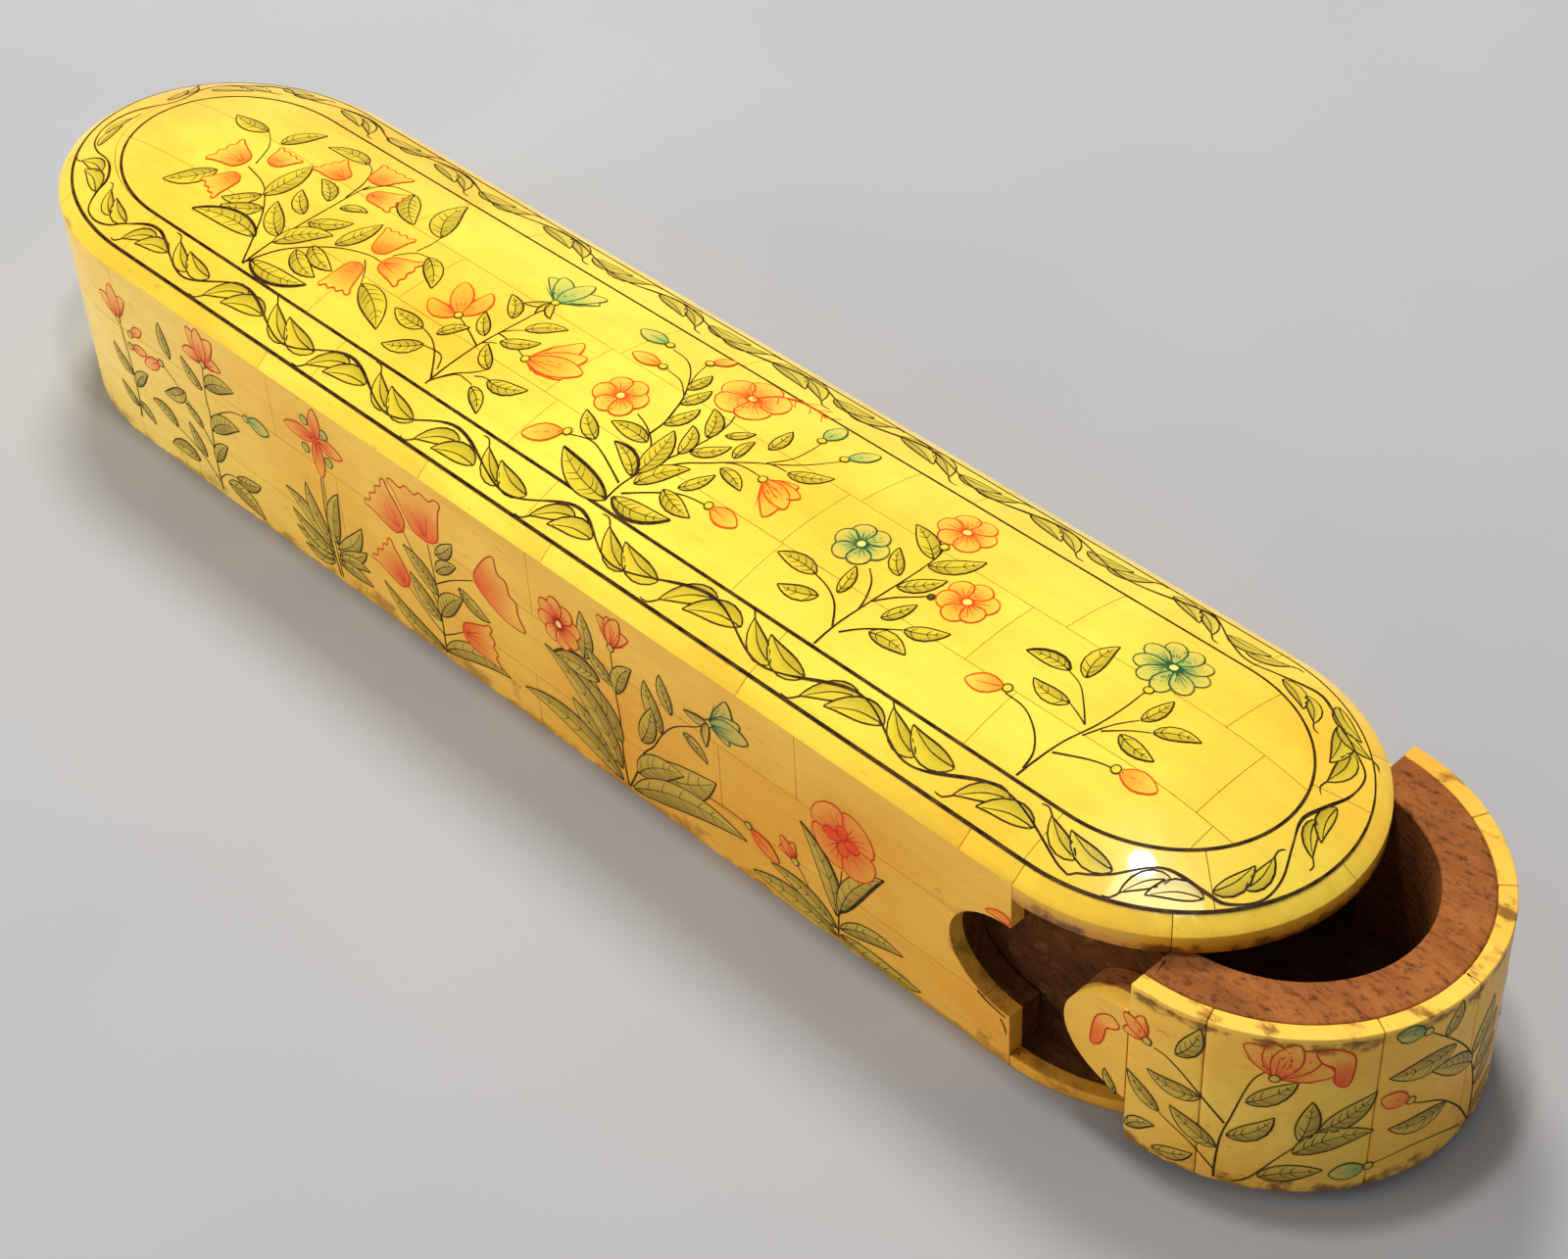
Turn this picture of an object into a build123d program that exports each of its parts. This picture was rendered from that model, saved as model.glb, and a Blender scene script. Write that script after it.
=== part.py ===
from build123d import *
import os
from math import atan2, cos, degrees, hypot, radians, sin

os.makedirs("parts", exist_ok=True)

# A long, slim pen box of wood, faced all over with glued bone plates. Its rounded drawer
# slides lengthwise out of the mouth of the case, over a thin wooden tongue and under the
# overhanging end of a domed lid board. It is drawn as it stands, with the drawer a little
# way out. All lengths are in millimetres. +X points the way the drawer pulls, +Z is up,
# and the origin is on the table under the middle of the box.

# Plan of the box
CASE_LENGTH = 230.5
WIDTH = 50.0
BACK_REACH = 31.6
FRONT_REACH = 27.0
DRAWER_OUT = 17.3

# Heights
LID_UNDERSIDE = 28.5
SIDE_PLATE_TOP = 30.8
RIM_HEIGHT = 32.6
CROWN = 5.0

# Thicknesses
BONE = 2.2
LID_BONE = 2.0
WALL_WOOD = 3.0
FLOOR_WOOD = 1.8
DRAWER_RIM = 8.3
TRAY_WOOD = 2.8
DRAWER_FLOOR = 2.0

# Clearances
SLIDE_GAP = 0.3
TAB_GAP = 0.25
JOINT = 0.1

# Rounded tab on each side of the drawer front, and its notch in the case wall
TAB_REACH = 9.2
TAB_HALF = 7.4
TAB_HEIGHT = 16.2

# Lid details
EDGE_ROUND = 1.7
BORDER_INSET = 8.9

# Joints between bone plates: row edges across the lid and up the sides, distances along the
# box from the mouth, positive towards the back, and angles round the rounded ends from +X
FIELD_ROW_EDGES = (-6.8, 5.1)
FIELD_JOINTS = ((-13.1, 15.9, 54.0, 95.4, 137.0), (-10.7, 24.0, 54.4, 98.0, 128.0), (-5.1, 18.9, 52.5, 96.5, 140.0))
BORDER_JOINTS = (0.5, 44.0, 85.0, 128.0, 171.0)
BAND_JOINTS = (8.0, 44.0, 79.0, 103.0, 137.0)
SIDE_ROW_EDGES = (9.2, 20.2)
SIDE_JOINTS = ((82.8, 158.0), (47.8, 122.3), (34.2, 82.0, 135.4))
BAND_FRONT_ANGLES = (-49, 3, 47)
BORDER_FRONT_ANGLES = (-38, 24)
BACK_ANGLES = (124, 180, 236)
STAVE_ANGLES = (-70, -28, 2, 37, 62)

# Places worked out from the sizes above
HALF_WIDTH = WIDTH / 2
TIP_X = (CASE_LENGTH + DRAWER_OUT) / 2
BACK_X = -TIP_X + BACK_REACH
MOUTH_X = -TIP_X + CASE_LENGTH - FRONT_REACH
FRONT_X = MOUTH_X + DRAWER_OUT
WALL_FACE = HALF_WIDTH - BONE - WALL_WOOD
TRAY_HALF = WALL_FACE - SLIDE_GAP
DRAWER_BOTTOM = FLOOR_WOOD + SLIDE_GAP
DRAWER_TOP = LID_UNDERSIDE - SLIDE_GAP
TRAY_FLOOR_TOP = DRAWER_BOTTOM + DRAWER_FLOOR
TRAY_BACK_X = BACK_X + DRAWER_OUT
TRAY_BACK_REACH = BACK_REACH - BONE - WALL_WOOD - 2 * SLIDE_GAP
TALL = 3 * RIM_HEIGHT
LONG = 2 * CASE_LENGTH
HALF_TURN = 180


# Plan of the whole box at one height, drawn in evenly by an inset
def outline(height, inset):
    half = HALF_WIDTH - inset
    with BuildSketch(Plane.XY.offset(height)) as plan:
        with BuildLine():
            EllipticalCenterArc((BACK_X, 0), BACK_REACH - inset, half, 90, arc_size=180)
            Line((BACK_X, -half), (MOUTH_X, -half))
            EllipticalCenterArc((MOUTH_X, 0), FRONT_REACH - inset, half, -90, arc_size=180)
            Line((MOUTH_X, half), (BACK_X, half))
        make_face()
    return plan.sketch


# Half ellipse that bulges to +X from a straight rear edge
def front_plan(height, rear_x, reach, half):
    with BuildSketch(Plane.XY.offset(height)) as plan:
        with BuildLine():
            EllipticalCenterArc((rear_x, 0), reach, half, -90, arc_size=180)
            Line((rear_x, half), (rear_x, -half))
        make_face()
    return plan.sketch


# Half ellipse that bulges to -X from a straight front edge
def back_plan(height, front_x, reach, half):
    with BuildSketch(Plane.XY.offset(height)) as plan:
        with BuildLine():
            EllipticalCenterArc((front_x, 0), reach, half, 90, arc_size=180)
            Line((front_x, -half), (front_x, half))
        make_face()
    return plan.sketch


# Straight strip along the box between two places in x and two in y
def strip_plan(height, x_start, x_end, y_start, y_end):
    with BuildSketch(Plane.XY.offset(height)) as plan:
        with BuildLine():
            Polyline((x_start, y_start), (x_end, y_start), (x_end, y_end), (x_start, y_end), close=True)
        make_face()
    return plan.sketch


# Long pillow turned about an axis along the box. Its ends are stretched as the inside of
# the edge band is, so its height stays the same all the way round that outline
def turned_pillow(axis_z, radius):
    span = HALF_WIDTH - BONE
    back_reach = radius * (BACK_REACH - BONE) / span
    front_reach = radius * (FRONT_REACH - BONE) / span
    with BuildPart() as pillow:
        with BuildSketch(Plane.XY.offset(axis_z)):
            with BuildLine():
                EllipticalCenterArc((BACK_X, 0), back_reach, radius, 90, arc_size=90)
                Line((BACK_X - back_reach, 0), (MOUTH_X + front_reach, 0))
                EllipticalCenterArc((MOUTH_X, 0), front_reach, radius, 0, arc_size=90)
                Line((MOUTH_X, radius), (BACK_X, radius))
            make_face()
        revolve(axis=Axis((0, 0, axis_z), (1, 0, 0)), revolution_arc=HALF_TURN)
    return pillow.part


# Pillow under the crown: a circular arc across the width, which starts at the rim on the
# inside of the edge band
def crown_pillow(drop):
    span = HALF_WIDTH - BONE
    radius = (span**2 + CROWN**2) / (2 * CROWN)
    return turned_pillow(RIM_HEIGHT - drop + CROWN - radius, radius)


# Pillow that rounds off the edge band, from the rim down to the outside of the band
def edge_pillow():
    span = HALF_WIDTH - BONE
    depth = (HALF_WIDTH**2 - span**2 + EDGE_ROUND**2) / (2 * EDGE_ROUND)
    return turned_pillow(RIM_HEIGHT - depth, hypot(span, depth))


# Place on a rounded end, turned so that its X axis points straight out of the outline
def end_place(centre_x, reach, angle):
    x = reach * cos(radians(angle))
    y = HALF_WIDTH * sin(radians(angle))
    out = degrees(atan2(y / HALF_WIDTH**2, x / reach**2))
    return Location((centre_x + x, y, 0), (0, 0, out))


# Rounded tab or notch seen from the side, as a bar right through the box
def tab_bar(centre_x, gap):
    with BuildPart() as bar:
        with BuildSketch(Plane.XZ):
            with Locations((centre_x, TAB_HEIGHT)):
                Ellipse(TAB_REACH + gap, TAB_HALF + gap)
        extrude(amount=WIDTH, both=True)
    return bar.part


# Bone facing of one straight side: three rows of plates with staggered joints
def side_plates(side):
    row_edges = (0, *SIDE_ROW_EDGES, SIDE_PLATE_TOP)
    with BuildPart() as plates:
        extrude(
            strip_plan(0, BACK_X + JOINT, MOUTH_X, side * HALF_WIDTH, side * (HALF_WIDTH - BONE)),
            amount=SIDE_PLATE_TOP,
        )
        for edge in SIDE_ROW_EDGES:
            with Locations((0, side * HALF_WIDTH, edge)):
                Box(LONG, 3 * BONE, JOINT, mode=Mode.SUBTRACT)
        for row, distances in enumerate(SIDE_JOINTS):
            for distance in distances:
                with Locations((MOUTH_X - distance, side * HALF_WIDTH, row_edges[row])):
                    Box(
                        JOINT,
                        3 * BONE,
                        row_edges[row + 1] - row_edges[row],
                        align=(Align.CENTER, Align.CENTER, Align.MIN),
                        mode=Mode.SUBTRACT,
                    )
        add(tab_bar(MOUTH_X, TAB_GAP), mode=Mode.SUBTRACT)
    return plates


# Wooden side wall of the case, with the notch for the drawer's tab in its mouth end
def case_wall(side):
    with BuildPart() as wall:
        extrude(
            strip_plan(FLOOR_WOOD, BACK_X, MOUTH_X, side * (HALF_WIDTH - BONE), side * WALL_FACE),
            amount=LID_UNDERSIDE - FLOOR_WOOD,
        )
        add(tab_bar(MOUTH_X, TAB_GAP), mode=Mode.SUBTRACT)
    return wall


# Wooden side of the drawer's tray
def tray_side(side):
    with BuildPart() as wall:
        extrude(
            strip_plan(TRAY_FLOOR_TOP, TRAY_BACK_X, FRONT_X, side * TRAY_HALF, side * (TRAY_HALF - TRAY_WOOD)),
            amount=DRAWER_TOP - TRAY_FLOOR_TOP,
        )
    return wall


# One layer of a tab, from one distance off the box's middle to another, up to its front end
def tab_layer(front_x, outer_y, inner_y):
    with BuildPart() as layer:
        extrude(strip_plan(0, FRONT_X - 2 * TAB_REACH, front_x, outer_y, inner_y), amount=TALL)
        add(tab_bar(FRONT_X, 0), mode=Mode.INTERSECT)
    return layer


# Wooden tab, which carries a bone plate on its outside
def tab_block(side):
    return tab_layer(FRONT_X, side * (HALF_WIDTH - BONE), side * WALL_FACE)


def tab_plate(side):
    return tab_layer(FRONT_X - JOINT, side * HALF_WIDTH, side * (HALF_WIDTH - BONE))


# Floor of the case, which runs on past the mouth as the drawer's tongue
with BuildPart() as bottom_board:
    extrude(outline(0, BONE), amount=FLOOR_WOOD)

# Bone strips round the edge of the tongue
with BuildPart() as bottom_edge_band:
    extrude(front_plan(0, MOUTH_X, FRONT_REACH, HALF_WIDTH), amount=FLOOR_WOOD)
    extrude(outline(0, BONE), amount=FLOOR_WOOD, mode=Mode.SUBTRACT)
    with Locations([end_place(MOUTH_X, FRONT_REACH, angle) for angle in BORDER_FRONT_ANGLES]):
        Box(3 * BONE, JOINT, TALL, mode=Mode.SUBTRACT)

near_wall = case_wall(-1)
far_wall = case_wall(1)

# Wooden wall round the closed back end
with BuildPart() as back_block:
    extrude(
        back_plan(FLOOR_WOOD, BACK_X, BACK_REACH - BONE, HALF_WIDTH - BONE),
        amount=LID_UNDERSIDE - FLOOR_WOOD,
    )
    extrude(
        back_plan(FLOOR_WOOD, BACK_X, BACK_REACH - BONE - WALL_WOOD, WALL_FACE),
        amount=LID_UNDERSIDE - FLOOR_WOOD,
        mode=Mode.SUBTRACT,
    )

near_side_plates = side_plates(-1)
far_side_plates = side_plates(1)

# Bone staves round the back end, in the same three rows
with BuildPart() as back_end_plates:
    extrude(back_plan(0, BACK_X, BACK_REACH, HALF_WIDTH), amount=SIDE_PLATE_TOP)
    extrude(outline(0, BONE), amount=SIDE_PLATE_TOP, mode=Mode.SUBTRACT)
    for edge in SIDE_ROW_EDGES:
        with Locations((0, 0, edge)):
            Box(LONG, 2 * WIDTH, JOINT, mode=Mode.SUBTRACT)
    with Locations([end_place(BACK_X, BACK_REACH, angle) for angle in BACK_ANGLES]):
        Box(3 * BONE, JOINT, TALL, mode=Mode.SUBTRACT)

# Domed wooden lid board, flat underneath
with BuildPart() as lid_board:
    extrude(outline(LID_UNDERSIDE, BONE), amount=TALL)
    add(crown_pillow(LID_BONE), mode=Mode.INTERSECT)

# Bone skin of the crown, before it is parted into plates
with BuildPart() as crown_skin:
    extrude(outline(LID_UNDERSIDE, BONE), amount=TALL)
    add(crown_pillow(0), mode=Mode.INTERSECT)
    add(crown_pillow(LID_BONE), mode=Mode.SUBTRACT)

# Border plates, under the painted leaves
with BuildPart() as lid_border_plates:
    add(crown_skin.part)
    extrude(outline(0, BORDER_INSET), amount=TALL, mode=Mode.SUBTRACT)
    for distance in BORDER_JOINTS:
        with Locations((MOUTH_X - distance, 0, 0)):
            Box(JOINT, 2 * WIDTH, TALL, mode=Mode.SUBTRACT)
    with Locations([end_place(MOUTH_X, FRONT_REACH, angle) for angle in BORDER_FRONT_ANGLES]):
        Box(3 * BORDER_INSET, JOINT, TALL, mode=Mode.SUBTRACT)
    with Locations(end_place(BACK_X, BACK_REACH, 180)):
        Box(3 * BORDER_INSET, JOINT, TALL, mode=Mode.SUBTRACT)

# Field plates in three rows, laid like bricks
field_edge = HALF_WIDTH - BORDER_INSET
row_edges = (-field_edge, *FIELD_ROW_EDGES, field_edge)
with BuildPart() as lid_field_plates:
    add(crown_skin.part)
    extrude(outline(0, BORDER_INSET + JOINT), amount=TALL, mode=Mode.INTERSECT)
    for edge in FIELD_ROW_EDGES:
        with Locations((0, edge, 0)):
            Box(LONG, JOINT, TALL, mode=Mode.SUBTRACT)
    for row, distances in enumerate(FIELD_JOINTS):
        for distance in distances:
            with Locations((MOUTH_X - distance, row_edges[row], 0)):
                Box(
                    JOINT,
                    row_edges[row + 1] - row_edges[row],
                    TALL,
                    align=(Align.CENTER, Align.MIN, Align.CENTER),
                    mode=Mode.SUBTRACT,
                )

# Rounded bone strips round the lid's edge, deeper where it stands out over the mouth
with BuildPart() as lid_edge_band:
    extrude(outline(SIDE_PLATE_TOP, 0), amount=TALL)
    extrude(
        front_plan(LID_UNDERSIDE, MOUTH_X, FRONT_REACH, HALF_WIDTH),
        amount=SIDE_PLATE_TOP - LID_UNDERSIDE,
    )
    add(edge_pillow(), mode=Mode.INTERSECT)
    extrude(outline(LID_UNDERSIDE, BONE), amount=TALL, mode=Mode.SUBTRACT)
    for distance in BAND_JOINTS:
        with Locations((MOUTH_X - distance, 0, 0)):
            Box(JOINT, 2 * WIDTH, TALL, mode=Mode.SUBTRACT)
    with Locations([end_place(MOUTH_X, FRONT_REACH, angle) for angle in BAND_FRONT_ANGLES]):
        Box(3 * BONE, JOINT, TALL, mode=Mode.SUBTRACT)
    with Locations([end_place(BACK_X, BACK_REACH, angle) for angle in BACK_ANGLES]):
        Box(3 * BONE, JOINT, TALL, mode=Mode.SUBTRACT)
    with Locations((MOUTH_X, 0, 0)):
        Box(JOINT, 2 * WIDTH, TALL, mode=Mode.SUBTRACT)

# Horseshoe front of the drawer
with BuildPart() as drawer_front_block:
    extrude(
        front_plan(TRAY_FLOOR_TOP, FRONT_X, FRONT_REACH - BONE, HALF_WIDTH - BONE),
        amount=DRAWER_TOP - TRAY_FLOOR_TOP,
    )
    extrude(
        front_plan(TRAY_FLOOR_TOP, FRONT_X, FRONT_REACH - DRAWER_RIM, HALF_WIDTH - DRAWER_RIM),
        amount=DRAWER_TOP - TRAY_FLOOR_TOP,
        mode=Mode.SUBTRACT,
    )

# Bone staves round the drawer front
with BuildPart() as drawer_front_plates:
    extrude(
        front_plan(DRAWER_BOTTOM, FRONT_X, FRONT_REACH, HALF_WIDTH),
        amount=DRAWER_TOP - DRAWER_BOTTOM,
    )
    extrude(
        front_plan(DRAWER_BOTTOM, FRONT_X, FRONT_REACH - BONE, HALF_WIDTH - BONE),
        amount=DRAWER_TOP - DRAWER_BOTTOM,
        mode=Mode.SUBTRACT,
    )
    with Locations([end_place(FRONT_X, FRONT_REACH, angle) for angle in STAVE_ANGLES]):
        Box(3 * BONE, JOINT, TALL, mode=Mode.SUBTRACT)

near_tab = tab_block(-1)
far_tab = tab_block(1)
near_tab_plate = tab_plate(-1)
far_tab_plate = tab_plate(1)

drawer_near_side = tray_side(-1)
drawer_far_side = tray_side(1)

# Rounded back end of the tray
with BuildPart() as drawer_back:
    extrude(
        back_plan(TRAY_FLOOR_TOP, TRAY_BACK_X, TRAY_BACK_REACH, TRAY_HALF),
        amount=DRAWER_TOP - TRAY_FLOOR_TOP,
    )
    extrude(
        back_plan(TRAY_FLOOR_TOP, TRAY_BACK_X, TRAY_BACK_REACH - TRAY_WOOD, TRAY_HALF - TRAY_WOOD),
        amount=DRAWER_TOP - TRAY_FLOOR_TOP,
        mode=Mode.SUBTRACT,
    )

# Floor of the tray and of the well in the drawer front
with BuildPart() as drawer_floor:
    extrude(back_plan(DRAWER_BOTTOM, TRAY_BACK_X, TRAY_BACK_REACH, TRAY_HALF), amount=DRAWER_FLOOR)
    extrude(strip_plan(DRAWER_BOTTOM, TRAY_BACK_X, FRONT_X, -TRAY_HALF, TRAY_HALF), amount=DRAWER_FLOOR)
    extrude(
        front_plan(DRAWER_BOTTOM, FRONT_X, FRONT_REACH - BONE, HALF_WIDTH - BONE),
        amount=DRAWER_FLOOR,
    )

pieces = {
    "bottom_board": bottom_board,
    "bottom_edge_band": bottom_edge_band,
    "near_wall": near_wall,
    "far_wall": far_wall,
    "back_block": back_block,
    "near_side_plates": near_side_plates,
    "far_side_plates": far_side_plates,
    "back_end_plates": back_end_plates,
    "lid_board": lid_board,
    "lid_edge_band": lid_edge_band,
    "lid_border_plates": lid_border_plates,
    "lid_field_plates": lid_field_plates,
    "drawer_front_block": drawer_front_block,
    "drawer_front_plates": drawer_front_plates,
    "near_tab": near_tab,
    "far_tab": far_tab,
    "near_tab_plate": near_tab_plate,
    "far_tab_plate": far_tab_plate,
    "drawer_near_side": drawer_near_side,
    "drawer_far_side": drawer_far_side,
    "drawer_back": drawer_back,
    "drawer_floor": drawer_floor,
}
for name, piece in pieces.items():
    piece.part.label = name
    export_step(piece.part, f"parts/{name}.step")
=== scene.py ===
from bisect import bisect_left
from math import atan2, ceil, cos, dist, exp, hypot, pi, radians, sin, sqrt
from random import Random
from typing import NamedTuple

import bpy
from bpy.props import FloatProperty, FloatVectorProperty, PointerProperty
from mathutils import Matrix, Vector


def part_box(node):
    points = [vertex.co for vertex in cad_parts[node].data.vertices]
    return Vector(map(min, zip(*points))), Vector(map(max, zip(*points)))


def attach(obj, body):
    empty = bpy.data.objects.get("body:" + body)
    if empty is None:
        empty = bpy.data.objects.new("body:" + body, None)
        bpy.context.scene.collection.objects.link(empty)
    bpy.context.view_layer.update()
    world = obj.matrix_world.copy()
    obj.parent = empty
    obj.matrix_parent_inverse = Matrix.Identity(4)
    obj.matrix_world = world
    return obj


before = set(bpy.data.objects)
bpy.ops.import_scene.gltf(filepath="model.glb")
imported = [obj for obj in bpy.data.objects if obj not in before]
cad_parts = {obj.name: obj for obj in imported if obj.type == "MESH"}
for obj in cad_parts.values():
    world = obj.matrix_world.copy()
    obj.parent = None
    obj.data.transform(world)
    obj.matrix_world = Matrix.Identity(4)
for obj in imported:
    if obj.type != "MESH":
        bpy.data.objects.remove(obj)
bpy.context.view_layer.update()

bl_info = {
    "name": "Pen box",
    "version": (1, 0, 0),
    "blender": (4, 5, 0),
    "location": "View3D > Sidebar > Pen box",
    "description": "Finishes, painted flowers and stage for a bone-faced pen box with a sliding drawer",
    "category": "Object",
}

# Places are written in millimetres, as they are measured on the box, and become metres here
MM = 0.001


def corners(node):
    low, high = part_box(node)
    return low / MM, high / MM


WALL_LOW, WALL_HIGH = corners("near_wall")
BAND_LOW, BAND_HIGH = corners("lid_edge_band")
BOARD_LOW, BOARD_HIGH = corners("lid_board")
FRONT_LOW, FRONT_HIGH = corners("drawer_front_plates")
TAB_LOW, TAB_HIGH = corners("near_tab_plate")
FIELD_TOP = corners("lid_field_plates")[1].z
BACK_X = WALL_LOW.x
MOUTH_X = WALL_HIGH.x
HALF_WIDTH = BAND_HIGH.y
BACK_REACH = BACK_X - BAND_LOW.x
RIM = BAND_HIGH.z

# The crown of the lid: half its width, its height over the rim, and its circle
SPAN = BOARD_HIGH.y
RISE = FIELD_TOP - RIM
CROWN_RADIUS = (SPAN**2 + RISE**2) / (2 * RISE)
CROWN_MIDDLE = FIELD_TOP - CROWN_RADIUS

# Middle and radius of the rounded notches, as the tabs that fill them show when moved in
NOTCH_RADIUS = (TAB_HIGH.z - TAB_LOW.z) / 2
NOTCH_MIDDLE = (TAB_LOW.x - FRONT_LOW.x + MOUTH_X + NOTCH_RADIUS, TAB_LOW.z + NOTCH_RADIUS)

# Joints of the field plates, as distances back from the mouth, row by row from the near side
FIELD_ROW_EDGES = (-6.8, 5.1)
FIELD_JOINTS = (
    (-13.1, 15.9, 54.0, 95.4, 137.0),
    (-10.7, 24.0, 54.4, 98.0, 128.0),
    (-5.1, 18.9, 52.5, 96.5, 140.0),
)


# Linear colour of a paint that shows as the given red, green and blue of 255
def shade(*shown):
    return tuple(((c / 255 + 0.055) / 1.055) ** 2.4 if c > 10 else c / 3294.6 for c in shown)


# Properties that a user may change


def colour(name, description, *shown):
    return FloatVectorProperty(
        name=name, description=description, subtype="COLOR", size=3, min=0, max=1, default=shade(*shown)
    )


def length(name, description, size):
    return FloatProperty(name=name, description=description, default=size * MM, unit="LENGTH")


def angle(name, description, degrees):
    return FloatProperty(name=name, description=description, default=radians(degrees), subtype="ANGLE")


def power(name, description, watts):
    return FloatProperty(name=name, description=description, default=watts, min=0, unit="POWER")


class PenBoxFinish(bpy.types.PropertyGroup):
    """Colours of bone, wood and paint"""

    lid_pale: colour("Lid", "Lacquered bone on the lid", 252, 219, 74)
    lid_amber: colour("Lid patches", "Darker patches of the lid's lacquer", 245, 188, 46)
    side_pale: colour("Sides", "Lacquered bone on the case and drawer", 252, 206, 84)
    side_amber: colour("Side patches", "Darker patches of the lacquer on the sides", 238, 164, 48)
    side_cream: colour("Back end", "Paler bone towards the closed end", 255, 230, 128)
    band_amber: colour("Band", "Low half of the lid's edge at the mouth", 214, 140, 34)
    wear: colour("Wear", "Brown stain in worn edges and pores", 96, 48, 14)
    wood: colour("Wood", "Bare wood of the drawer and case", 164, 96, 46)
    # The dark wood also serves as painted shade on the wood inside the case and the drawer's tray
    wood_dark: colour("Dark wood", "Dark grain and dirt of the bare wood", 46, 24, 10)
    ink: colour("Ink", "Drawn lines", 34, 16, 4)
    side_ink: colour("Side ink", "Drawn lines on the sides", 50, 40, 16)
    leaf: colour("Leaf", "Light part of a leaf on the lid", 222, 198, 38)
    leaf_shadow: colour("Leaf shadow", "Shaded part of a leaf on the lid", 170, 148, 20)
    side_leaf: colour("Side leaf", "Light part of a leaf on the sides", 204, 178, 66)
    side_leaf_shadow: colour("Side leaf shadow", "Shaded part of a leaf on the sides", 132, 114, 36)
    orange: colour("Orange", "Petals on the lid", 255, 108, 6)
    orange_line: colour("Orange line", "Outline of the petals on the lid", 222, 78, 12)
    red: colour("Red", "Petals on the sides", 236, 52, 20)
    red_line: colour("Red line", "Outline of the petals on the sides", 206, 48, 30)
    teal: colour("Teal", "Blue-green petals", 36, 160, 92)
    teal_line: colour("Teal line", "Outline of the blue-green petals", 28, 84, 48)


class PenBoxPainting(bpy.types.PropertyGroup):
    """Sizes of the painted decoration"""

    wash_lift: length("Wash", "Height of a wash over the bone", 0.03)
    ink_lift: length("Ink", "Height of an ink line over the bone", 0.031)
    fine_line: length("Fine line", "Width of veins", 0.12)
    line: length("Line", "Width of outlines and twigs", 0.2)
    bold_line: length("Bold line", "Width of the lines along the border", 0.45)


class PenBoxStage(bpy.types.PropertyGroup):
    """Camera, lamps and floor"""

    lens: FloatProperty(name="Lens", description="Focal length of the camera", default=69.78, min=10)
    azimuth: angle("Azimuth", "Camera's turn about the box", 47.635)
    elevation: angle("Elevation", "Camera's height", 42.496)
    roll: angle("Roll", "Camera's tilt", -3.136)
    distance: length("Distance", "Camera to target", 387.76)
    floor: colour("Floor", "Pale floor", 172, 172, 174)
    key_power: power("Key lamp", "Power of the large lamp", 6.9)
    side_power: power("Side lamp", "Power of the low lamp", 3.0)
    glint_power: power("Window lamp", "Power of the lamp that the lid mirrors", 0.7)
    panel_power: power("Panel", "Power of the lamp that only gloss shows", 3.0)
    world: FloatProperty(name="World", description="Strength of the even light", default=0.34, min=0)


# Places on a surface, worked out from flat ones


def lerp(a, b, t):
    return tuple(p + (q - p) * t for p, q in zip(a, b))


# Place that lies some steps forward of a start, in the given direction, and some steps to the left
def step_from(start, direction, forward, left=0.0):
    (u, v), (du, dv) = start, direction
    return u + du * forward - dv * left, v + dv * forward + du * left


def heading(start, end):
    size = dist(start, end) or 1
    return (end[0] - start[0]) / size, (end[1] - start[1]) / size


# Heading of a path at each of its points
def headings(path):
    last = len(path) - 1
    return [heading(path[max(i - 1, 0)], path[min(i + 1, last)]) for i in range(len(path))]


# Value on the smooth curve through four values, a share of the way from the second to the third
def between(t, p, q, r, s):
    return 0.5 * (2 * q + (r - p) * t + (2 * p - 5 * q + 4 * r - s) * t**2 + (3 * q - p - 3 * r + s) * t**3)


# Smooth path through the given points, with a point about every step
def smooth_path(points, step=0.7, closed=False):
    count = len(points)
    if count == 2 and not closed:
        spans = max(1, ceil(dist(*points) / step))
        return [lerp(*points, i / spans) for i in range(spans + 1)]
    path = []
    for i in range(count if closed else count - 1):
        if closed:
            a, b, c, d = (points[(i + k) % count] for k in (-1, 0, 1, 2))
        else:
            a, b, c, d = (points[min(max(i + k, 0), count - 1)] for k in (-1, 0, 1, 2))
        spans = max(2, ceil(dist(b, c) / step))
        for k in range(spans):
            t = k / spans
            path.append(tuple(between(t, *near) for near in zip(a, b, c, d)))
    path.append(path[0] if closed else points[-1])
    return path


# Charts of the painted surfaces. Each takes a place on the surface and a lift, and gives a point

# Shares of the crown's and of the rounded back's reach beyond which a chart goes straight on
CROWN_LIMIT = 1.08
BACK_LIMIT = 0.98


def lid_chart(u, v, lift):
    along = 0.0
    if u > MOUTH_X:
        along = (u - MOUTH_X) * SPAN / (BOARD_HIGH.x - MOUTH_X)
    elif u < BACK_X:
        along = (u - BACK_X) * SPAN / (BACK_X - BOARD_LOW.x)
    across = min(hypot(along, v), CROWN_LIMIT * SPAN)
    rise = sqrt(CROWN_RADIUS**2 - across**2)
    outward = Vector((along, v, rise)).normalized()
    return Vector((u, v, CROWN_MIDDLE + rise)) + lift * outward


# Long side of the case, -1 for the near one and 1 for the far one; v is the height
def side_chart(side):
    def place(u, v, lift):
        share = min(max((BACK_X - u) / BACK_REACH, 0), BACK_LIMIT)
        y = HALF_WIDTH * sqrt(1 - share**2)
        outward = Vector((-share / BACK_REACH, y / HALF_WIDTH**2, 0)).normalized()
        return Vector((u + lift * outward.x, side * (y + lift * outward.y), v))

    return place


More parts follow.
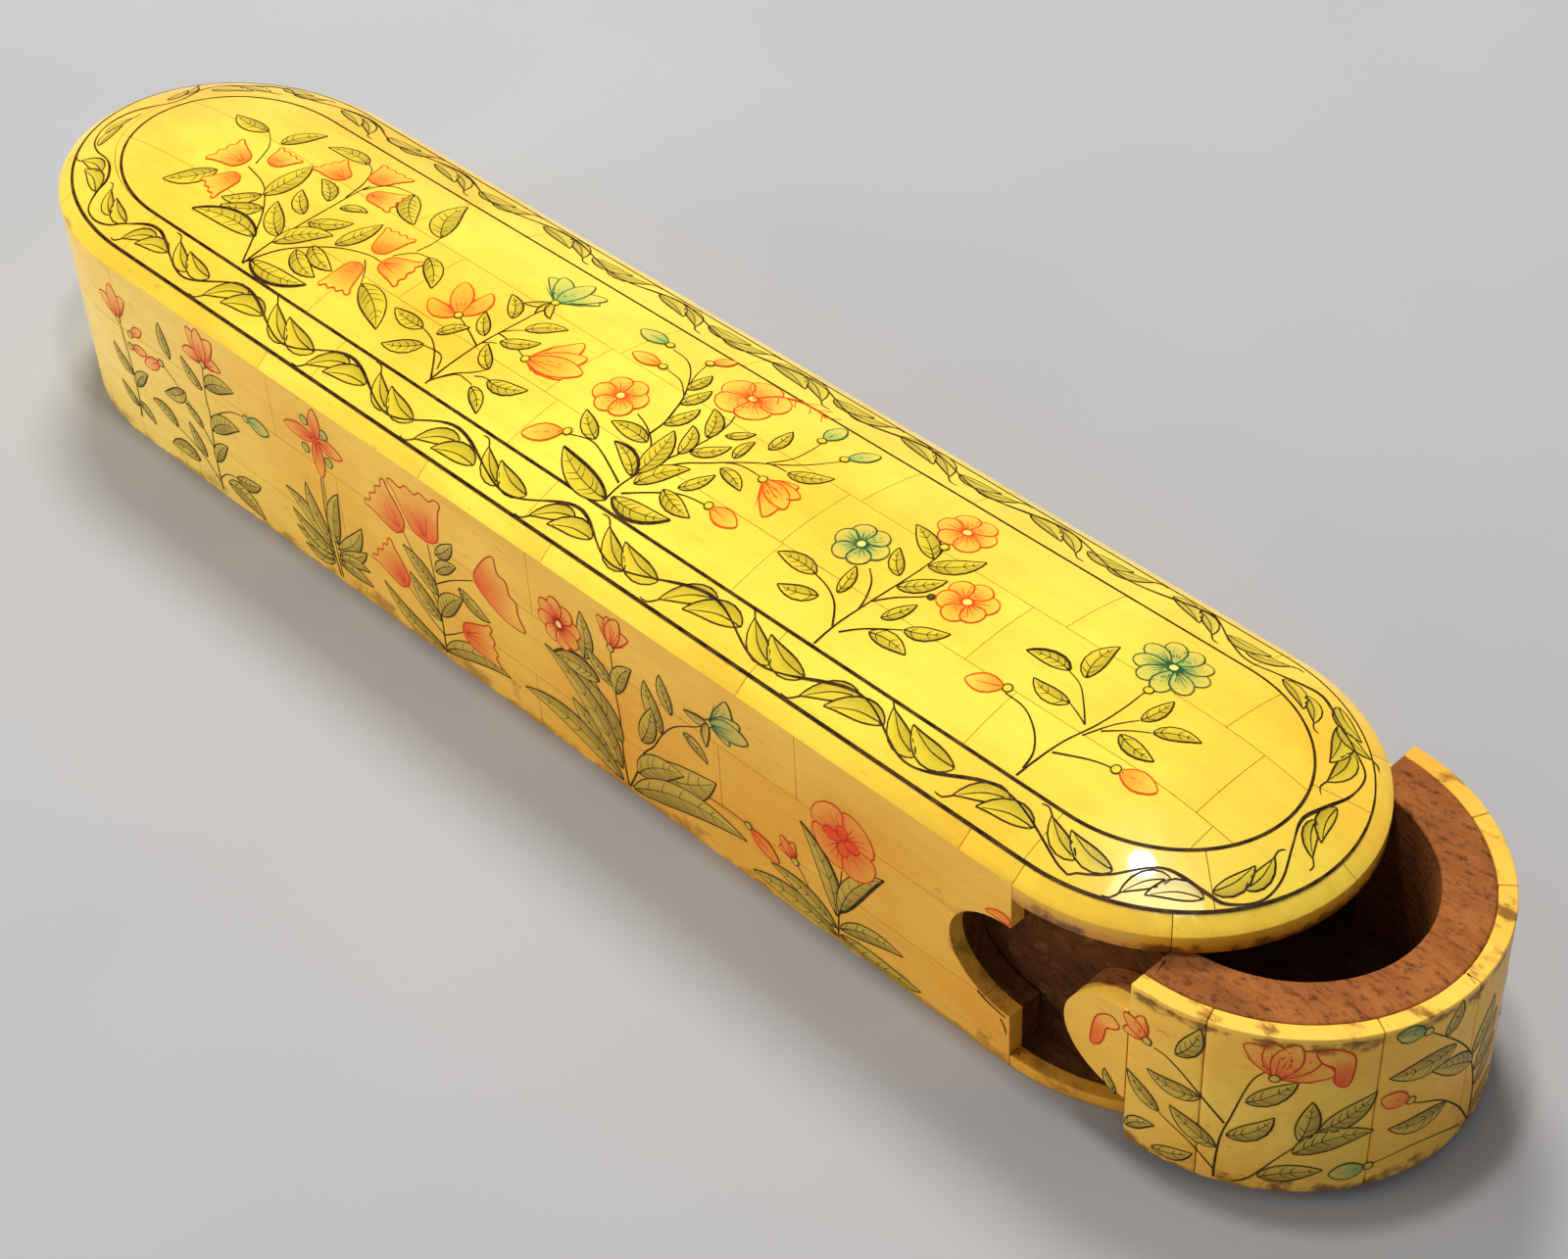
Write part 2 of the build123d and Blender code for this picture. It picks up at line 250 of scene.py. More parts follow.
# Outside of a rounded end, with the length of its curve. There u runs along the curve from the
# near corner, and v is the height
def end_chart(centre_x, reach, direction):
    steps = 180
    angles = [-pi / 2 + pi * i / steps for i in range(steps + 1)]
    places = [(centre_x + direction * reach * cos(a), HALF_WIDTH * sin(a)) for a in angles]
    lengths = [0.0]
    for before, after in zip(places, places[1:]):
        lengths.append(lengths[-1] + dist(before, after))

    def place(u, v, lift):
        if u <= 0:
            return Vector((centre_x + direction * u, -HALF_WIDTH - lift, v))
        if u >= lengths[-1]:
            return Vector((centre_x - direction * (u - lengths[-1]), HALF_WIDTH + lift, v))
        i = min(max(bisect_left(lengths, u), 1), steps)
        part = (u - lengths[i - 1]) / (lengths[i] - lengths[i - 1])
        a = angles[i - 1] + part * pi / steps
        outward = Vector((direction * cos(a) / reach, sin(a) / HALF_WIDTH, 0)).normalized()
        return Vector((centre_x + direction * reach * cos(a), HALF_WIDTH * sin(a), v)) + lift * outward

    return place, lengths[-1]


# Chart on which paint is pressed together over the bone's low edge, so that none hangs below it
def above_edge(chart, low):
    reach = 1.0
    margin = 0.25

    def place(u, v, lift):
        if v < low + reach:
            v = low + margin + (reach - margin) * exp((v - low - reach) / (reach - margin))
        return chart(u, v, lift)

    return place


# Chart with its first direction turned round about a place
def mirrored(chart, middle):
    return lambda u, v, lift: chart(2 * middle - u, v, lift)


# Paint of a petal or leaf: its thin and its full wash, with their strengths, and its line
class Paint(NamedTuple):
    thin: tuple
    full: tuple
    line: tuple


def mixed(light, dark, line, thin=0.16, full=0.95):
    return Paint((*light, thin), (*dark, full), tuple(line))


POLLEN = (*shade(250, 232, 120), 0.8)

# Kinds of face, which are also the places of their materials on a piece
WASH = 0
INK = 1

# Height by which a later shape lies over an earlier one, and the vine's count of such heights
LEVEL = 0.0022
VINE_LEVEL = 8

# Share of the full wash on a leaf and a petal, from one edge across to the other
LEAF_TONES = (0.1, 0.0, 0.3, 0.55, 0.8)
PETAL_TONES = (0.06, 0.0, 0.1, 0.0, 0.06)
ACROSS = (1, 0.5, 0, -0.5, -1)


class Brush:
    """Paints one surface: washes of colour, with ink lines on top of them"""

    def __init__(self, chart, scene, seed):
        finish = scene.pen_box_finish
        self.chart = chart
        self.sizes = scene.pen_box_painting
        self.random = Random(seed)
        self.vertices = []
        self.outward = []
        self.colours = []
        self.faces = []
        self.kinds = []
        self.level = 0
        self.ink = tuple(finish.ink)
        self.green = mixed(finish.leaf, finish.leaf_shadow, finish.ink, 0.9)
        self.warm = mixed(finish.orange, finish.orange, finish.orange_line)
        self.teal = mixed(finish.teal, finish.teal, finish.teal_line)

    def grid(self, rows, shades, kind):
        lift = (self.sizes.wash_lift, self.sizes.ink_lift)[kind] / MM + self.level * LEVEL
        start = len(self.vertices)
        width = len(rows[0])
        for row, row_shades in zip(rows, shades):
            for (u, v), shown in zip(row, row_shades):
                point = self.chart(u, v, lift)
                self.vertices.append(point * MM)
                self.outward.append(self.chart(u, v, lift + 1) - point)
                self.colours.append(shown)
        for i in range(len(rows) - 1):
            for j in range(width - 1):
                corner = start + i * width + j
                self.faces.append((corner, corner + 1, corner + width + 1, corner + width))
                self.kinds.append(kind)

    # Ink line along a path, each a little paler or darker than the last one. Start, middle and end
    # are the shares of its width there
    def line(self, path, width, shown=None, start=1.0, end=1.0, middle=1.0):
        thinnest = 0.15
        last = max(len(path) - 1, 1)
        rows = []
        for i, (place, ahead) in enumerate(zip(path, headings(path))):
            t = i / last
            swell = start + (end - start) * t + (middle - (start + end) / 2) * 4 * t * (1 - t)
            half = max(swell, thinnest) * width / MM / 2
            rows.append([step_from(place, ahead, 0, left) for left in (half, 0, -half)])
        tone = 0.85 + 0.3 * self.random.random()
        worn = (*(min(c * tone, 1) for c in shown or self.ink), 1)
        self.grid(rows, [[worn] * 3] * len(rows), INK)

    # Short stroke that starts full and thins out
    def streak(self, start, middle, end, shown, thin):
        self.line([start, middle, end], self.sizes.fine_line * 1.2, shown, 1.5, thin)

    def stem(self, *points, width=1.0):
        self.level = 0
        self.line(smooth_path(points), self.sizes.line * 1.15 * width, start=1.35, end=0.75)

    def twig(self, *points):
        self.stem(*points, width=0.8)

    def fine_twig(self, *points):
        self.stem(*points, width=0.7)

    # Leaf or petal along a bent spine, with its wash, outline and veins. A blunt one is widest
    # beyond its middle, a pointed one nearer to its base
    def blade(self, base, tip, width, bend, paint, tones, depth, veins=0, blunt=0.0, bold=False):
        along = (tip[0] - base[0], tip[1] - base[1])
        step = 0.8
        count = max(8, ceil(dist(base, tip) / step))
        widest = 0.6
        spine = []
        halves = []
        for i in range(count + 1):
            t = 0.5 - 0.5 * cos(pi * i / count)
            spine.append(step_from(base, along, t, bend * 4 * t * (1 - t)))
            pointed = t**0.72 * (1 - t) * 2.62
            if t > widest:
                rounded = sqrt(max(1 - ((t - widest) / (1 - widest)) ** 2, 0))
            else:
                rounded = sin(pi / 2 * t / widest) ** 1.3
            halves.append(width / 2 * (pointed + (rounded - pointed) * blunt))
        ahead = headings(spine)
        rows = [[step_from(p, h, 0, half * k) for k in ACROSS] for p, h, half in zip(spine, ahead, halves)]
        shades = []
        for i in range(count + 1):
            deep = max(1 - i / count * 1.25, 0) * depth
            shades.append([lerp(paint.thin, paint.full, min(deep + tone, 1)) for tone in tones])
        self.grid(rows, shades, WASH)
        line = self.sizes.line
        self.line([row[0] for row in rows], line, paint.line, 0.7, 0.8)
        self.line([row[-1] for row in rows], line * (1.9 if bold else 1.0), paint.line, 0.7, 0.9, 1.3)
        if veins:
            self.line(spine[: int(count * 0.92)], self.sizes.fine_line * 1.2, paint.line, 1.3, 0.6)
        for k in range(veins):
            i = round((0.24 + 0.42 * k / max(veins - 1, 1)) * count)
            reach = halves[min(i + 1, count)] * 0.78
            for turn in (reach, -reach):
                middle = step_from(spine[i], ahead[i], reach * 0.35, turn * 0.5)
                end = step_from(spine[i], ahead[i], reach * 0.95, turn)
                self.line([spine[i], middle, end], self.sizes.fine_line, paint.line, 1.0, 0.5)

    # Leaf with a pair of veins about every 1.7 mm
    def leaf(self, base_u, base_v, tip_u, tip_v, width=0.47, bold=False, veins=None, bend=None):
        base, tip = (base_u, base_v), (tip_u, tip_v)
        size = dist(base, tip)
        if bend is None:
            bend = self.random.choice((-1, 1)) * (0.05 + 0.07 * self.random.random())
        if veins is None:
            veins = min(5, max(2, round(size / 1.7)))
        self.level += 1
        self.blade(base, tip, size * width, bend, self.green, LEAF_TONES, 0.5, veins, bold=bold)
        self.line([base, lerp(base, tip, 0.08)], self.sizes.line)

    def leaves(self, *places, **looks):
        for place in places:
            self.leaf(*place, **looks)

    def petal(self, base, tip, width, paint=None, blunt=0.8, bend=0.0, streaks=3):
        paint = paint or self.warm
        self.level += 1
        self.blade(base, tip, width, bend, paint, PETAL_TONES, 1.0, blunt=blunt)
        for k in range(streaks):
            left = (k - (streaks - 1) / 2) / streaks * width * 0.75
            reach = 0.5 + 0.25 * self.random.random()
            end = step_from(base, heading(base, tip), dist(base, tip) * reach, left)
            start = lerp(base, end, 0.12)
            self.streak(start, lerp(start, end, 0.5), end, paint.line, 0.35)

    # Small round calyx with a bud on it
    def bud(self, ring, tip, paint=None, width=0.5):
        self.petal(lerp(ring, tip, 0.08), tip, dist(ring, tip) * width, paint, blunt=0.35, streaks=1)
        self.disc(ring, 0.6)

    def disc(self, centre, radius, fill=None, outline=None):
        self.level += 1
        turn = [2 * pi * i / 14 for i in range(15)]
        edge = [step_from(centre, (cos(a), sin(a)), radius) for a in turn]
        self.grid([[centre] * 15, edge], [[fill or self.green.thin] * 15] * 2, WASH)
        self.line(edge, self.sizes.line * 0.9, outline)

    # Flower of like petals round a centre
    def rosette(self, centre, radius, count, paint=None, turn=0.0, streaks=3):
        paint = paint or self.warm
        width = radius * 2 * sin(pi / count) * 0.86
        for i in range(count):
            a = turn + 2 * pi * i / count
            outward = (cos(a), sin(a))
            reach = radius * (0.94 + 0.12 * self.random.random())
            base, tip = (step_from(centre, outward, size) for size in (0.4, reach))
            self.petal(base, tip, width, paint, blunt=0.92, streaks=streaks)
        self.disc(centre, 0.62, POLLEN, paint.line)

    # Cup of petals that spread from a base to several tips, the middle ones on top
    def cup(self, base, tips, paint=None, width=0.52):
        middle = (len(tips) - 1) / 2
        for i in sorted(range(len(tips)), key=lambda i: -abs(i - middle)):
            bend = 0.16 * (i - middle) / middle
            self.petal(base, tips[i], dist(base, tips[i]) * width, paint, blunt=0.45, bend=bend)
        self.disc(base, 0.6)

    # Bell with a frilled mouth, shaped by places along it and across it
    def bell(self, base, mouth, width):
        along = (mouth[0] - base[0], mouth[1] - base[1])
        size = dist(base, mouth)
        half = width / 2 / size
        rim = [(1.07 - 0.1 * (k % 2), 0.84 - 0.28 * k) for k in range(7)]
        edge = [(0.0, 0.14), (0.12, 0.5), (0.5, 0.72), (0.82, 0.86), (1.0, 1.02)]
        shape = edge + rim + [(s, -t) for s, t in reversed(edge)]
        outline = [step_from(base, along, s, (t + 0.04 * self.random.random()) * half) for s, t in shape]
        self.patch(outline, base, size)
        for side in (-0.3, 0.1, 0.4):
            end = step_from(base, along, 0.62, side * half)
            self.streak(lerp(base, end, 0.15), lerp(base, end, 0.6), end, self.warm.line, 0.3)

    # Irregular closed shape, its wash full at one place and thin at a distance from it
    def patch(self, outline, deep, reach, paint=None):
        paint = paint or self.warm
        rings = 5
        self.level += 1
        path = smooth_path(outline, step=0.5, closed=True)
        middle = tuple(sum(places) / len(outline) for places in zip(*outline))
        rows = [[lerp(middle, place, k / rings) for place in path] for k in range(rings + 1)]
        shades = []
        for row in rows:
            shares = [min(dist(place, deep) / reach, 1) ** 1.4 for place in row]
            shades.append([lerp(paint.full, paint.thin, share) for share in shares])
        self.grid(rows, shades, WASH)
        self.line(path, self.sizes.line * 1.15, paint.line)

    # Faces turned so that they all look away from the bone
    def outward_faces(self):
        faces = []
        for face in self.faces:
            a, b, c, d = (self.vertices[i] for i in face)
            normal = (c - a).cross(d - b)
            faces.append(face if normal.dot(self.outward[face[0]]) >= 0 else tuple(reversed(face)))
        return faces

    def finish_piece(self, name, body, slot, wash):
        mesh = bpy.data.meshes.new(name)
        mesh.from_pydata(self.vertices, [], self.outward_faces())
        paint = mesh.color_attributes.new("paint", "FLOAT_COLOR", "POINT")
        for i, shown in enumerate(self.colours):
            paint.data[i].color = shown
        mesh.materials.append(wash)
        mesh.materials.append(ink_material())
        mesh.polygons.foreach_set("material_index", self.kinds)
        mesh.shade_smooth()
        mesh.update()
        piece = bpy.data.objects.new(name, mesh)
        bpy.context.scene.collection.objects.link(piece)
        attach(piece, body)


# Darker leaves, softer ink and red petals, as on the browner bone of the sides
def side_brush(chart, scene, seed):
    finish = scene.pen_box_finish
    brush = Brush(chart, scene, seed)
    brush.green = mixed(finish.side_leaf, finish.side_leaf_shadow, finish.side_ink, 0.75, 0.9)
    brush.ink = tuple(finish.side_ink)
    brush.warm = mixed(finish.red, finish.red, finish.red_line)
    return brush


# Materials


class Nodes:
    """Short way to write a material's node tree. What feeds an input is a number, a colour or a
    vector, or else a node with the name or number of its output"""

    def __init__(self, name):
        self.material = bpy.data.materials.get(name) or bpy.data.materials.new(name)
        self.material.use_nodes = True
        self.tree = self.material.node_tree
        self.tree.nodes.clear()
        self.shader = self.add("ShaderNodeBsdfPrincipled")
        self.add("ShaderNodeOutputMaterial", {"Surface": (self.shader, "BSDF")})
        self.place = (self.add("ShaderNodeTexCoord"), "Object")

    # Adds a node, feeds its inputs and makes its settings
    def add(self, kind, inputs=None, **settings):
        node = self.tree.nodes.new(kind)
        for key, value in settings.items():
            setattr(node, key, value)
        for key, value in (inputs or {}).items():
            self.feed(node, key, value)
        return node

    def feed(self, node, key, value):
        socket = node.inputs[key]
        if isinstance(value, (int, float)):
            socket.default_value = value
        elif isinstance(value[0], bpy.types.Node):
            self.tree.links.new(value[0].outputs[value[1]], socket)
        elif socket.type == "RGBA":
            socket.default_value = (*value, 1)
        else:
            socket.default_value = value

    # Place on the box, stretched and moved
    def mapped(self, stretch, shift):
        inputs = {"Vector": self.place, "Scale": stretch, "Location": shift}
        return self.add("ShaderNodeMapping", inputs), "Vector"

    def noise(self, scale, detail, roughness, stretch=(1, 1, 1), shift=(0, 0, 0)):
        looks = {"Scale": scale, "Detail": detail, "Roughness": roughness}
        return self.add("ShaderNodeTexNoise", {"Vector": self.mapped(stretch, shift), **looks}), "Fac"

    def ramp(self, source, *stops, constant=False):
        ramp = self.add("ShaderNodeValToRGB", {"Fac": source})
        if constant:
            ramp.color_ramp.interpolation = "CONSTANT"
        while len(ramp.color_ramp.elements) < len(stops):
            ramp.color_ramp.elements.new(1.0)
        for element, (position, value) in zip(ramp.color_ramp.elements, stops):
            element.position = position
            element.color = (value, value, value, 1)
        return ramp, "Color"

    def mix(self, factor, first, second, blend="MIX"):
        inputs = {0: factor, 6: first, 7: second}
        return self.add("ShaderNodeMix", inputs, data_type="RGBA", blend_type=blend), 2

    def math(self, operation, first, second):
        return self.add("ShaderNodeMath", {0: first, 1: second}, operation=operation), 0

    def times(self, first, second):
        return self.math("MULTIPLY", first, second)

    # Turns the values between a start and an end into those between a low and a high one
    def span(self, source, start, end, low=0, high=1):
        ends = {"From Min": start, "From Max": end, "To Min": low, "To Max": high}
        return self.add("ShaderNodeMapRange", {"Value": source, **ends}), 0

    # Share from 0 to 1 between two places along one axis, in millimetres
    def along(self, axis, start, end):
        split = self.add("ShaderNodeSeparateXYZ", {"Vector": self.place})
        return self.span((split, axis), start * MM, end * MM)

    # Share from 1 to 0 between two distances from a line across the box, in millimetres
    def around(self, x, z, near, far):
        flat = self.mapped((1, 0, 1), (-x * MM, 0, -z * MM))
        distance = self.add("ShaderNodeVectorMath", {0: flat}, operation="LENGTH")
        return self.span((distance, "Value"), far * MM, near * MM)

    def bump(self, source, distance, strength):
        inputs = {"Height": source, "Distance": distance * MM, "Strength": strength}
        self.feed(self.shader, "Normal", (self.add("ShaderNodeBump", inputs), "Normal"))

    # Surface of a colour, its roughness varied up from the given one
    def surface(self, base, waves, roughness, more, specular, coat=0.0):
        self.feed(self.shader, "Base Color", base)
        self.feed(self.shader, "Roughness", self.span(waves, 0, 1, roughness, roughness + more))
        self.feed(self.shader, "Specular IOR Level", specular)
        self.feed(self.shader, "Coat Weight", coat)
        self.feed(self.shader, "Coat Roughness", 0.05)
        self.feed(self.shader, "IOR", 1.5)
        return self.material


# Fine fibres and short stained pores of polished bone, which run along the box
def bone_grain(nodes, base, wear, pore_share, depth):
    fibres = nodes.ramp(nodes.noise(900, 2, 0.6, (0.08, 1, 1)), (0.3, 0.86), (0.62, 1.0))
    pores = nodes.ramp(nodes.noise(1700, 1, 0.5, (0.16, 1, 1)), (0.70, 0.0), (0.78, 1.0))
    nodes.bump(fibres, 0.02, depth)
    base = nodes.mix(0.5, base, fibres, "MULTIPLY")
    return nodes.mix(nodes.times(pores, pore_share), base, wear)


# Brown stain in spots, which run together where the edge share nears 1
def stain(nodes, base, wear, edge, amount, shift):
    spots = nodes.noise(330, 4, 0.65, (0.6, 1, 1), shift)
    worn = nodes.ramp(nodes.math("ADD", spots, nodes.times(edge, 0.26)), (0.66, 0.0), (0.80, 1.0))
    return nodes.mix(nodes.times(worn, amount), base, wear)


# Where a piece is painted, its wash is laid thinly over the bone below it
def painted_over(nodes, base):
    wash = nodes.add("ShaderNodeAttribute", attribute_name="paint")
    strength = nodes.ramp(nodes.noise(380, 3, 0.6), (0.3, 0.78), (0.6, 1.0))
    return nodes.mix(nodes.times(strength, (wash, "Alpha")), base, (wash, "Color"))


# Tone of each field plate, a little different from that of the plates beside it
def plate_tones(nodes):
    tones = Random(11)
    room = 40
    low, high = BACK_X - room, MOUTH_X + room
    share = nodes.along("X", low, high)
    whole = None
    for joints, edge in zip(FIELD_JOINTS, (None, *FIELD_ROW_EDGES)):
        starts = [0.0] + sorted((MOUTH_X - distance - low) / (high - low) for distance in joints)
        row = nodes.ramp(share, *((start, 0.90 + 0.10 * tones.random()) for start in starts), constant=True)
        whole = row if edge is None else nodes.mix(nodes.along("Y", edge - 0.01, edge + 0.01), whole, row)
    return whole


# Lid: pale yellow with amber patches, and browner low on its edge near the mouth
def lid_bone_material(finish, name, painted=False, stained=False):
    nodes = Nodes(name)
    patches = nodes.noise(34, 4, 0.6, (0.7, 1, 1))
    base = nodes.mix(nodes.ramp(patches, (0.38, 0.0), (0.68, 1.0)), finish.lid_pale, finish.lid_amber)
    base = nodes.mix(0.75, base, plate_tones(nodes), "MULTIPLY")
    base = bone_grain(nodes, base, finish.wear, 0.16, 0.5)
    if stained:
        lower = nodes.along("Z", RIM - 1.0, BAND_LOW.z + 0.4)
        near_mouth = nodes.along("X", MOUTH_X - 19.6, MOUTH_X)
        base = nodes.mix(nodes.times(lower, near_mouth), base, finish.band_amber)
        low_edge = nodes.times(nodes.along("Z", BAND_LOW.z + 2.2, BAND_LOW.z), 1.15)
        base = stain(nodes, base, finish.wear, low_edge, 0.85, (0.3, 0, 0))
    if painted:
        base = painted_over(nodes, base)
    return nodes.surface(base, patches, 0.24, 0.16, 0.2, coat=0.5)


# Heights of the stained edges, amount of stain and shift of its pattern
CASE_STAIN = (0, 40, 0.5, (0, 0, 0))
DRAWER_STAIN = (FRONT_LOW.z, FRONT_HIGH.z, 0.8, (0, 0.1, 0))


# Sides: browner, stained round the notches, along their low edge and just below their high one
def side_bone_material(finish, name, low, high, amount, shift, painted=False):
    nodes = Nodes(name)
    patches = nodes.noise(26, 4, 0.6, (0.6, 1, 1.2), shift)
    base = nodes.mix(nodes.ramp(patches, (0.36, 0.0), (0.68, 1.0)), finish.side_pale, finish.side_amber)
    base = nodes.mix(nodes.times(nodes.along("X", BACK_X + 45, BAND_LOW.x), 0.85), base, finish.side_cream)
    base = bone_grain(nodes, base, finish.wear, 0.18, 0.6)
    edge = nodes.along("Z", low + 4.0, low)
    below_rim = nodes.along("Z", high - 3.2, high - 0.9)
    below_rim = nodes.times(below_rim, nodes.along("Z", high - 0.1, high - 0.7))
    on_rim = nodes.times(nodes.along("Z", high - 0.3, high - 0.1), 0.5)
    notch = nodes.around(*NOTCH_MIDDLE, NOTCH_RADIUS - 0.6, NOTCH_RADIUS + 1.2)
    for part in (below_rim, on_rim, notch):
        edge = nodes.math("MAXIMUM", edge, part)
    base = stain(nodes, base, finish.wear, edge, amount, shift)
    if painted:
        base = painted_over(nodes, base)
    return nodes.surface(base, patches, 0.34, 0.16, 0.2, coat=0.12)


# Old open-grained wood with grime and dust in its pores. For the wood inside the box, the light and dark
# tones passed in also carry painted shade
def wood_material(finish, name, light, dark, roughness):
    nodes = Nodes(name)
    grain = nodes.noise(150, 5, 0.65, (0.3, 1, 0.5))
    pores = nodes.noise(1100, 3, 0.7, (0.5, 1, 1))
    dust = nodes.noise(420, 4, 0.7)
    base = nodes.mix(nodes.ramp(grain, (0.36, 0.0), (0.70, 0.8)), light, dark)
    base = nodes.mix(nodes.ramp(pores, (0.50, 0.0), (0.70, 0.8)), base, finish.wood_dark)
    base = nodes.mix(nodes.ramp(dust, (0.54, 0.0), (0.80, 0.4)), base, shade(168, 120, 70))
    nodes.bump(pores, 0.18, 0.7)
    return nodes.surface(base, dust, roughness, 0.2, 0.15)


# Brown-black ink, thin in places so that it looks drawn by hand
def ink_material():
    ready = bpy.data.materials.get("drawn_ink")
    if ready:
        return ready
    nodes = Nodes("drawn_ink")
    drawn = nodes.add("ShaderNodeAttribute", attribute_name="paint")
    pressure = nodes.noise(520, 3, 0.6)
    faint = nodes.ramp(pressure, (0.38, 0.0), (0.75, 0.3))
    base = nodes.mix(faint, (drawn, "Color"), shade(150, 112, 44))
    return nodes.surface(base, pressure, 0.5, 0.16, 0.12)


# Gives CAD pieces a material, and edges rounded by a radius in millimetres where wanted
def dress(names, material, rounding=0.0):
    for name in names:
        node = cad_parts[name]
        node.data.materials.clear()
        node.data.materials.append(material)
        if rounding:
            weld = node.modifiers.new("joined_faces", "WELD")
            weld.merge_threshold = 0.002 * MM
            bevel = node.modifiers.new("worn_edges", "BEVEL")
            bevel.width = rounding * MM
            bevel.segments = 3
            bevel.limit_method = "ANGLE"
            bevel.angle_limit = radians(32)


# Painted flowers of the lid's field, from the back to the mouth


def bellflower(brush):
    brush.stem((-72.6, -15), (-72.2, -10), (-71.7, -5), (-71.6, 0), (-71.9, 4), (-72.2, 7.5))
    brush.twig((-72, 3), (-73, 6.5), (-74.3, 8.8), (-75.8, 10.6), (-78, 11.6))
    brush.twig((-72, 6), (-71, 9), (-69.3, 10.3), (-66.5, 10.8))
    brush.stem((-72.5, -14.5), (-70, -10.5), (-66.5, -7.3), (-63, -5), (-58.8, -3.5), (-56.3, -3.4))
    brush.fine_twig((-56, -1.5), (-55.3, -0.3), (-54, 1.2), (-52, 1.6))
    brush.fine_twig((-54.4, 1.5), (-54.3, 4), (-54.7, 6))
    brush.fine_twig((-58.3, -4.5), (-56.5, -6), (-54.5, -8.5))
    brush.stem((-72.8, -14.9), (-75, -11.3), (-77.5, -7.8), (-80, -5.2), (-83.5, -2.8), (-88.5, -1.6))
    brush.fine_twig((-88.2, -0.5), (-90, 3), (-92, 5), (-94, 6.2))
    brush.leaves(
        (-77.5, 11.2, -84.9, 9.9), (-66.5, 10.8, -59.8, 5.4), (-73, 0.7, -78.2, 3.6),
        (-73.2, -3.5, -78, 0), (-72.4, -8.7, -78.5, -4), (-70.4, 0.7, -66.7, 2.7),
        (-71.2, -4.3, -66, -0.3), (-72, -10, -66, -4), (-64.3, -5, -62.8, 2.3),
        (-66.7, -7.2, -60.3, -8.8), (-68, -9, -61.4, -11), (-52, 1.6, -46.3, -2.7),
        (-54.7, 6, -59.6, 14.7), (-54.7, -8, -46.3, -12.5), (-81.3, -4.4, -81.8, 4.8),
        (-81.5, -4.5, -86, -8.3), (-79, -6.3, -84.8, -9.4), (-94, 6.2, -101.5, 6.1),
        (-89.8, 5.3, -87.8, 12), (-91.3, -5, -96.8, -10.8),
    )
    brush.leaves((-72, -14, -61.3, -12.6), (-75.2, -10.7, -87.8, -12.3), width=0.3, bold=True)
    brush.bell((-72.5, 8.3), (-72.9, 13), 6.2)
    brush.bell((-76, 5.9), (-80.6, 7), 5.4)
    brush.bell((-70.3, 5.8), (-65.9, 7.2), 5.4)
    brush.bell((-58.3, -2.5), (-59, 2.4), 5.4)
    brush.bell((-56, -3.4), (-51.2, -2.8), 6)
    brush.bell((-58.5, -5.5), (-57.5, -10.8), 5.4)
    brush.bell((-89.6, -1.4), (-94.6, -1), 6.4)
    brush.bell((-87.7, -3.8), (-89.3, -8.2), 5.2)
    brush.bell((-86.3, 0.8), (-86.2, 4.4), 5.2)


def lotus_spray(brush):
    brush.stem((-33, -15), (-32.7, -11), (-32.3, -6), (-31.8, -1.5), (-31.6, 3), (-31.8, 6.8))
    brush.fine_twig((-32, -2.8), (-31, -1.4), (-29.8, -0.4))
    brush.fine_twig((-32.3, -5.8), (-31.5, -5), (-30.5, -4.5))
    brush.stem((-33, -14.5), (-31, -11.8), (-28.8, -10), (-27.6, -8.5))
    brush.fine_twig((-28.3, -10.5), (-27.2, -9.9), (-26, -9.8))
    brush.twig((-33, -14.4), (-30.6, -11.7), (-29, -11.5), (-27.3, -11.7))
    brush.stem((-33, -14), (-36, -10.8), (-38.5, -9.2), (-41, -8.6))
    brush.twig((-33.5, -12.5), (-35, -10.5), (-38.5, -10.7))
    brush.twig((-31.9, -3), (-29, -3.2), (-25.2, -4.2))
    brush.twig((-32.4, -6.5), (-35.5, -5.2), (-39, -4))
    brush.leaves(
        (-33, 0.3, -37.3, 3.9), (-29.8, -0.3, -25.6, 3.7), (-33, -4.5, -36.7, -1.1),
        (-30.5, -4, -26, -0.7), (-38.5, -8.3, -35.8, -4.7), (-27.6, -8.5, -31.4, -5.3),
        (-26.1, -10, -20.3, -8), (-27.2, -12, -23.1, -14.7), (-41, -8.6, -47.2, -8.3),
        (-38.5, -10.6, -43.7, -13.7),
    )
    brush.leaves(
        (-31.8, 6.5, -34.6, 3.7), (-31.8, 6.5, -31.7, 3.2), (-31.8, 6.5, -29.3, 3.7), width=0.4, veins=0,
    )
    lotus = ((-37.4, 10.6), (-36.3, 12.2), (-32, 14), (-28.1, 12.8), (-27.6, 11))
    brush.cup((-31.8, 6.8), lotus, brush.teal, width=0.46)
    brush.cup((-25.2, -4.2), ((-21.8, 3.1), (-19, 1.2), (-17, -1.5), (-18.3, -3.9), (-21.5, -5.2)))
    brush.cup((-39, -4), ((-39.3, 2), (-43.8, 1.3), (-44.7, -4)))


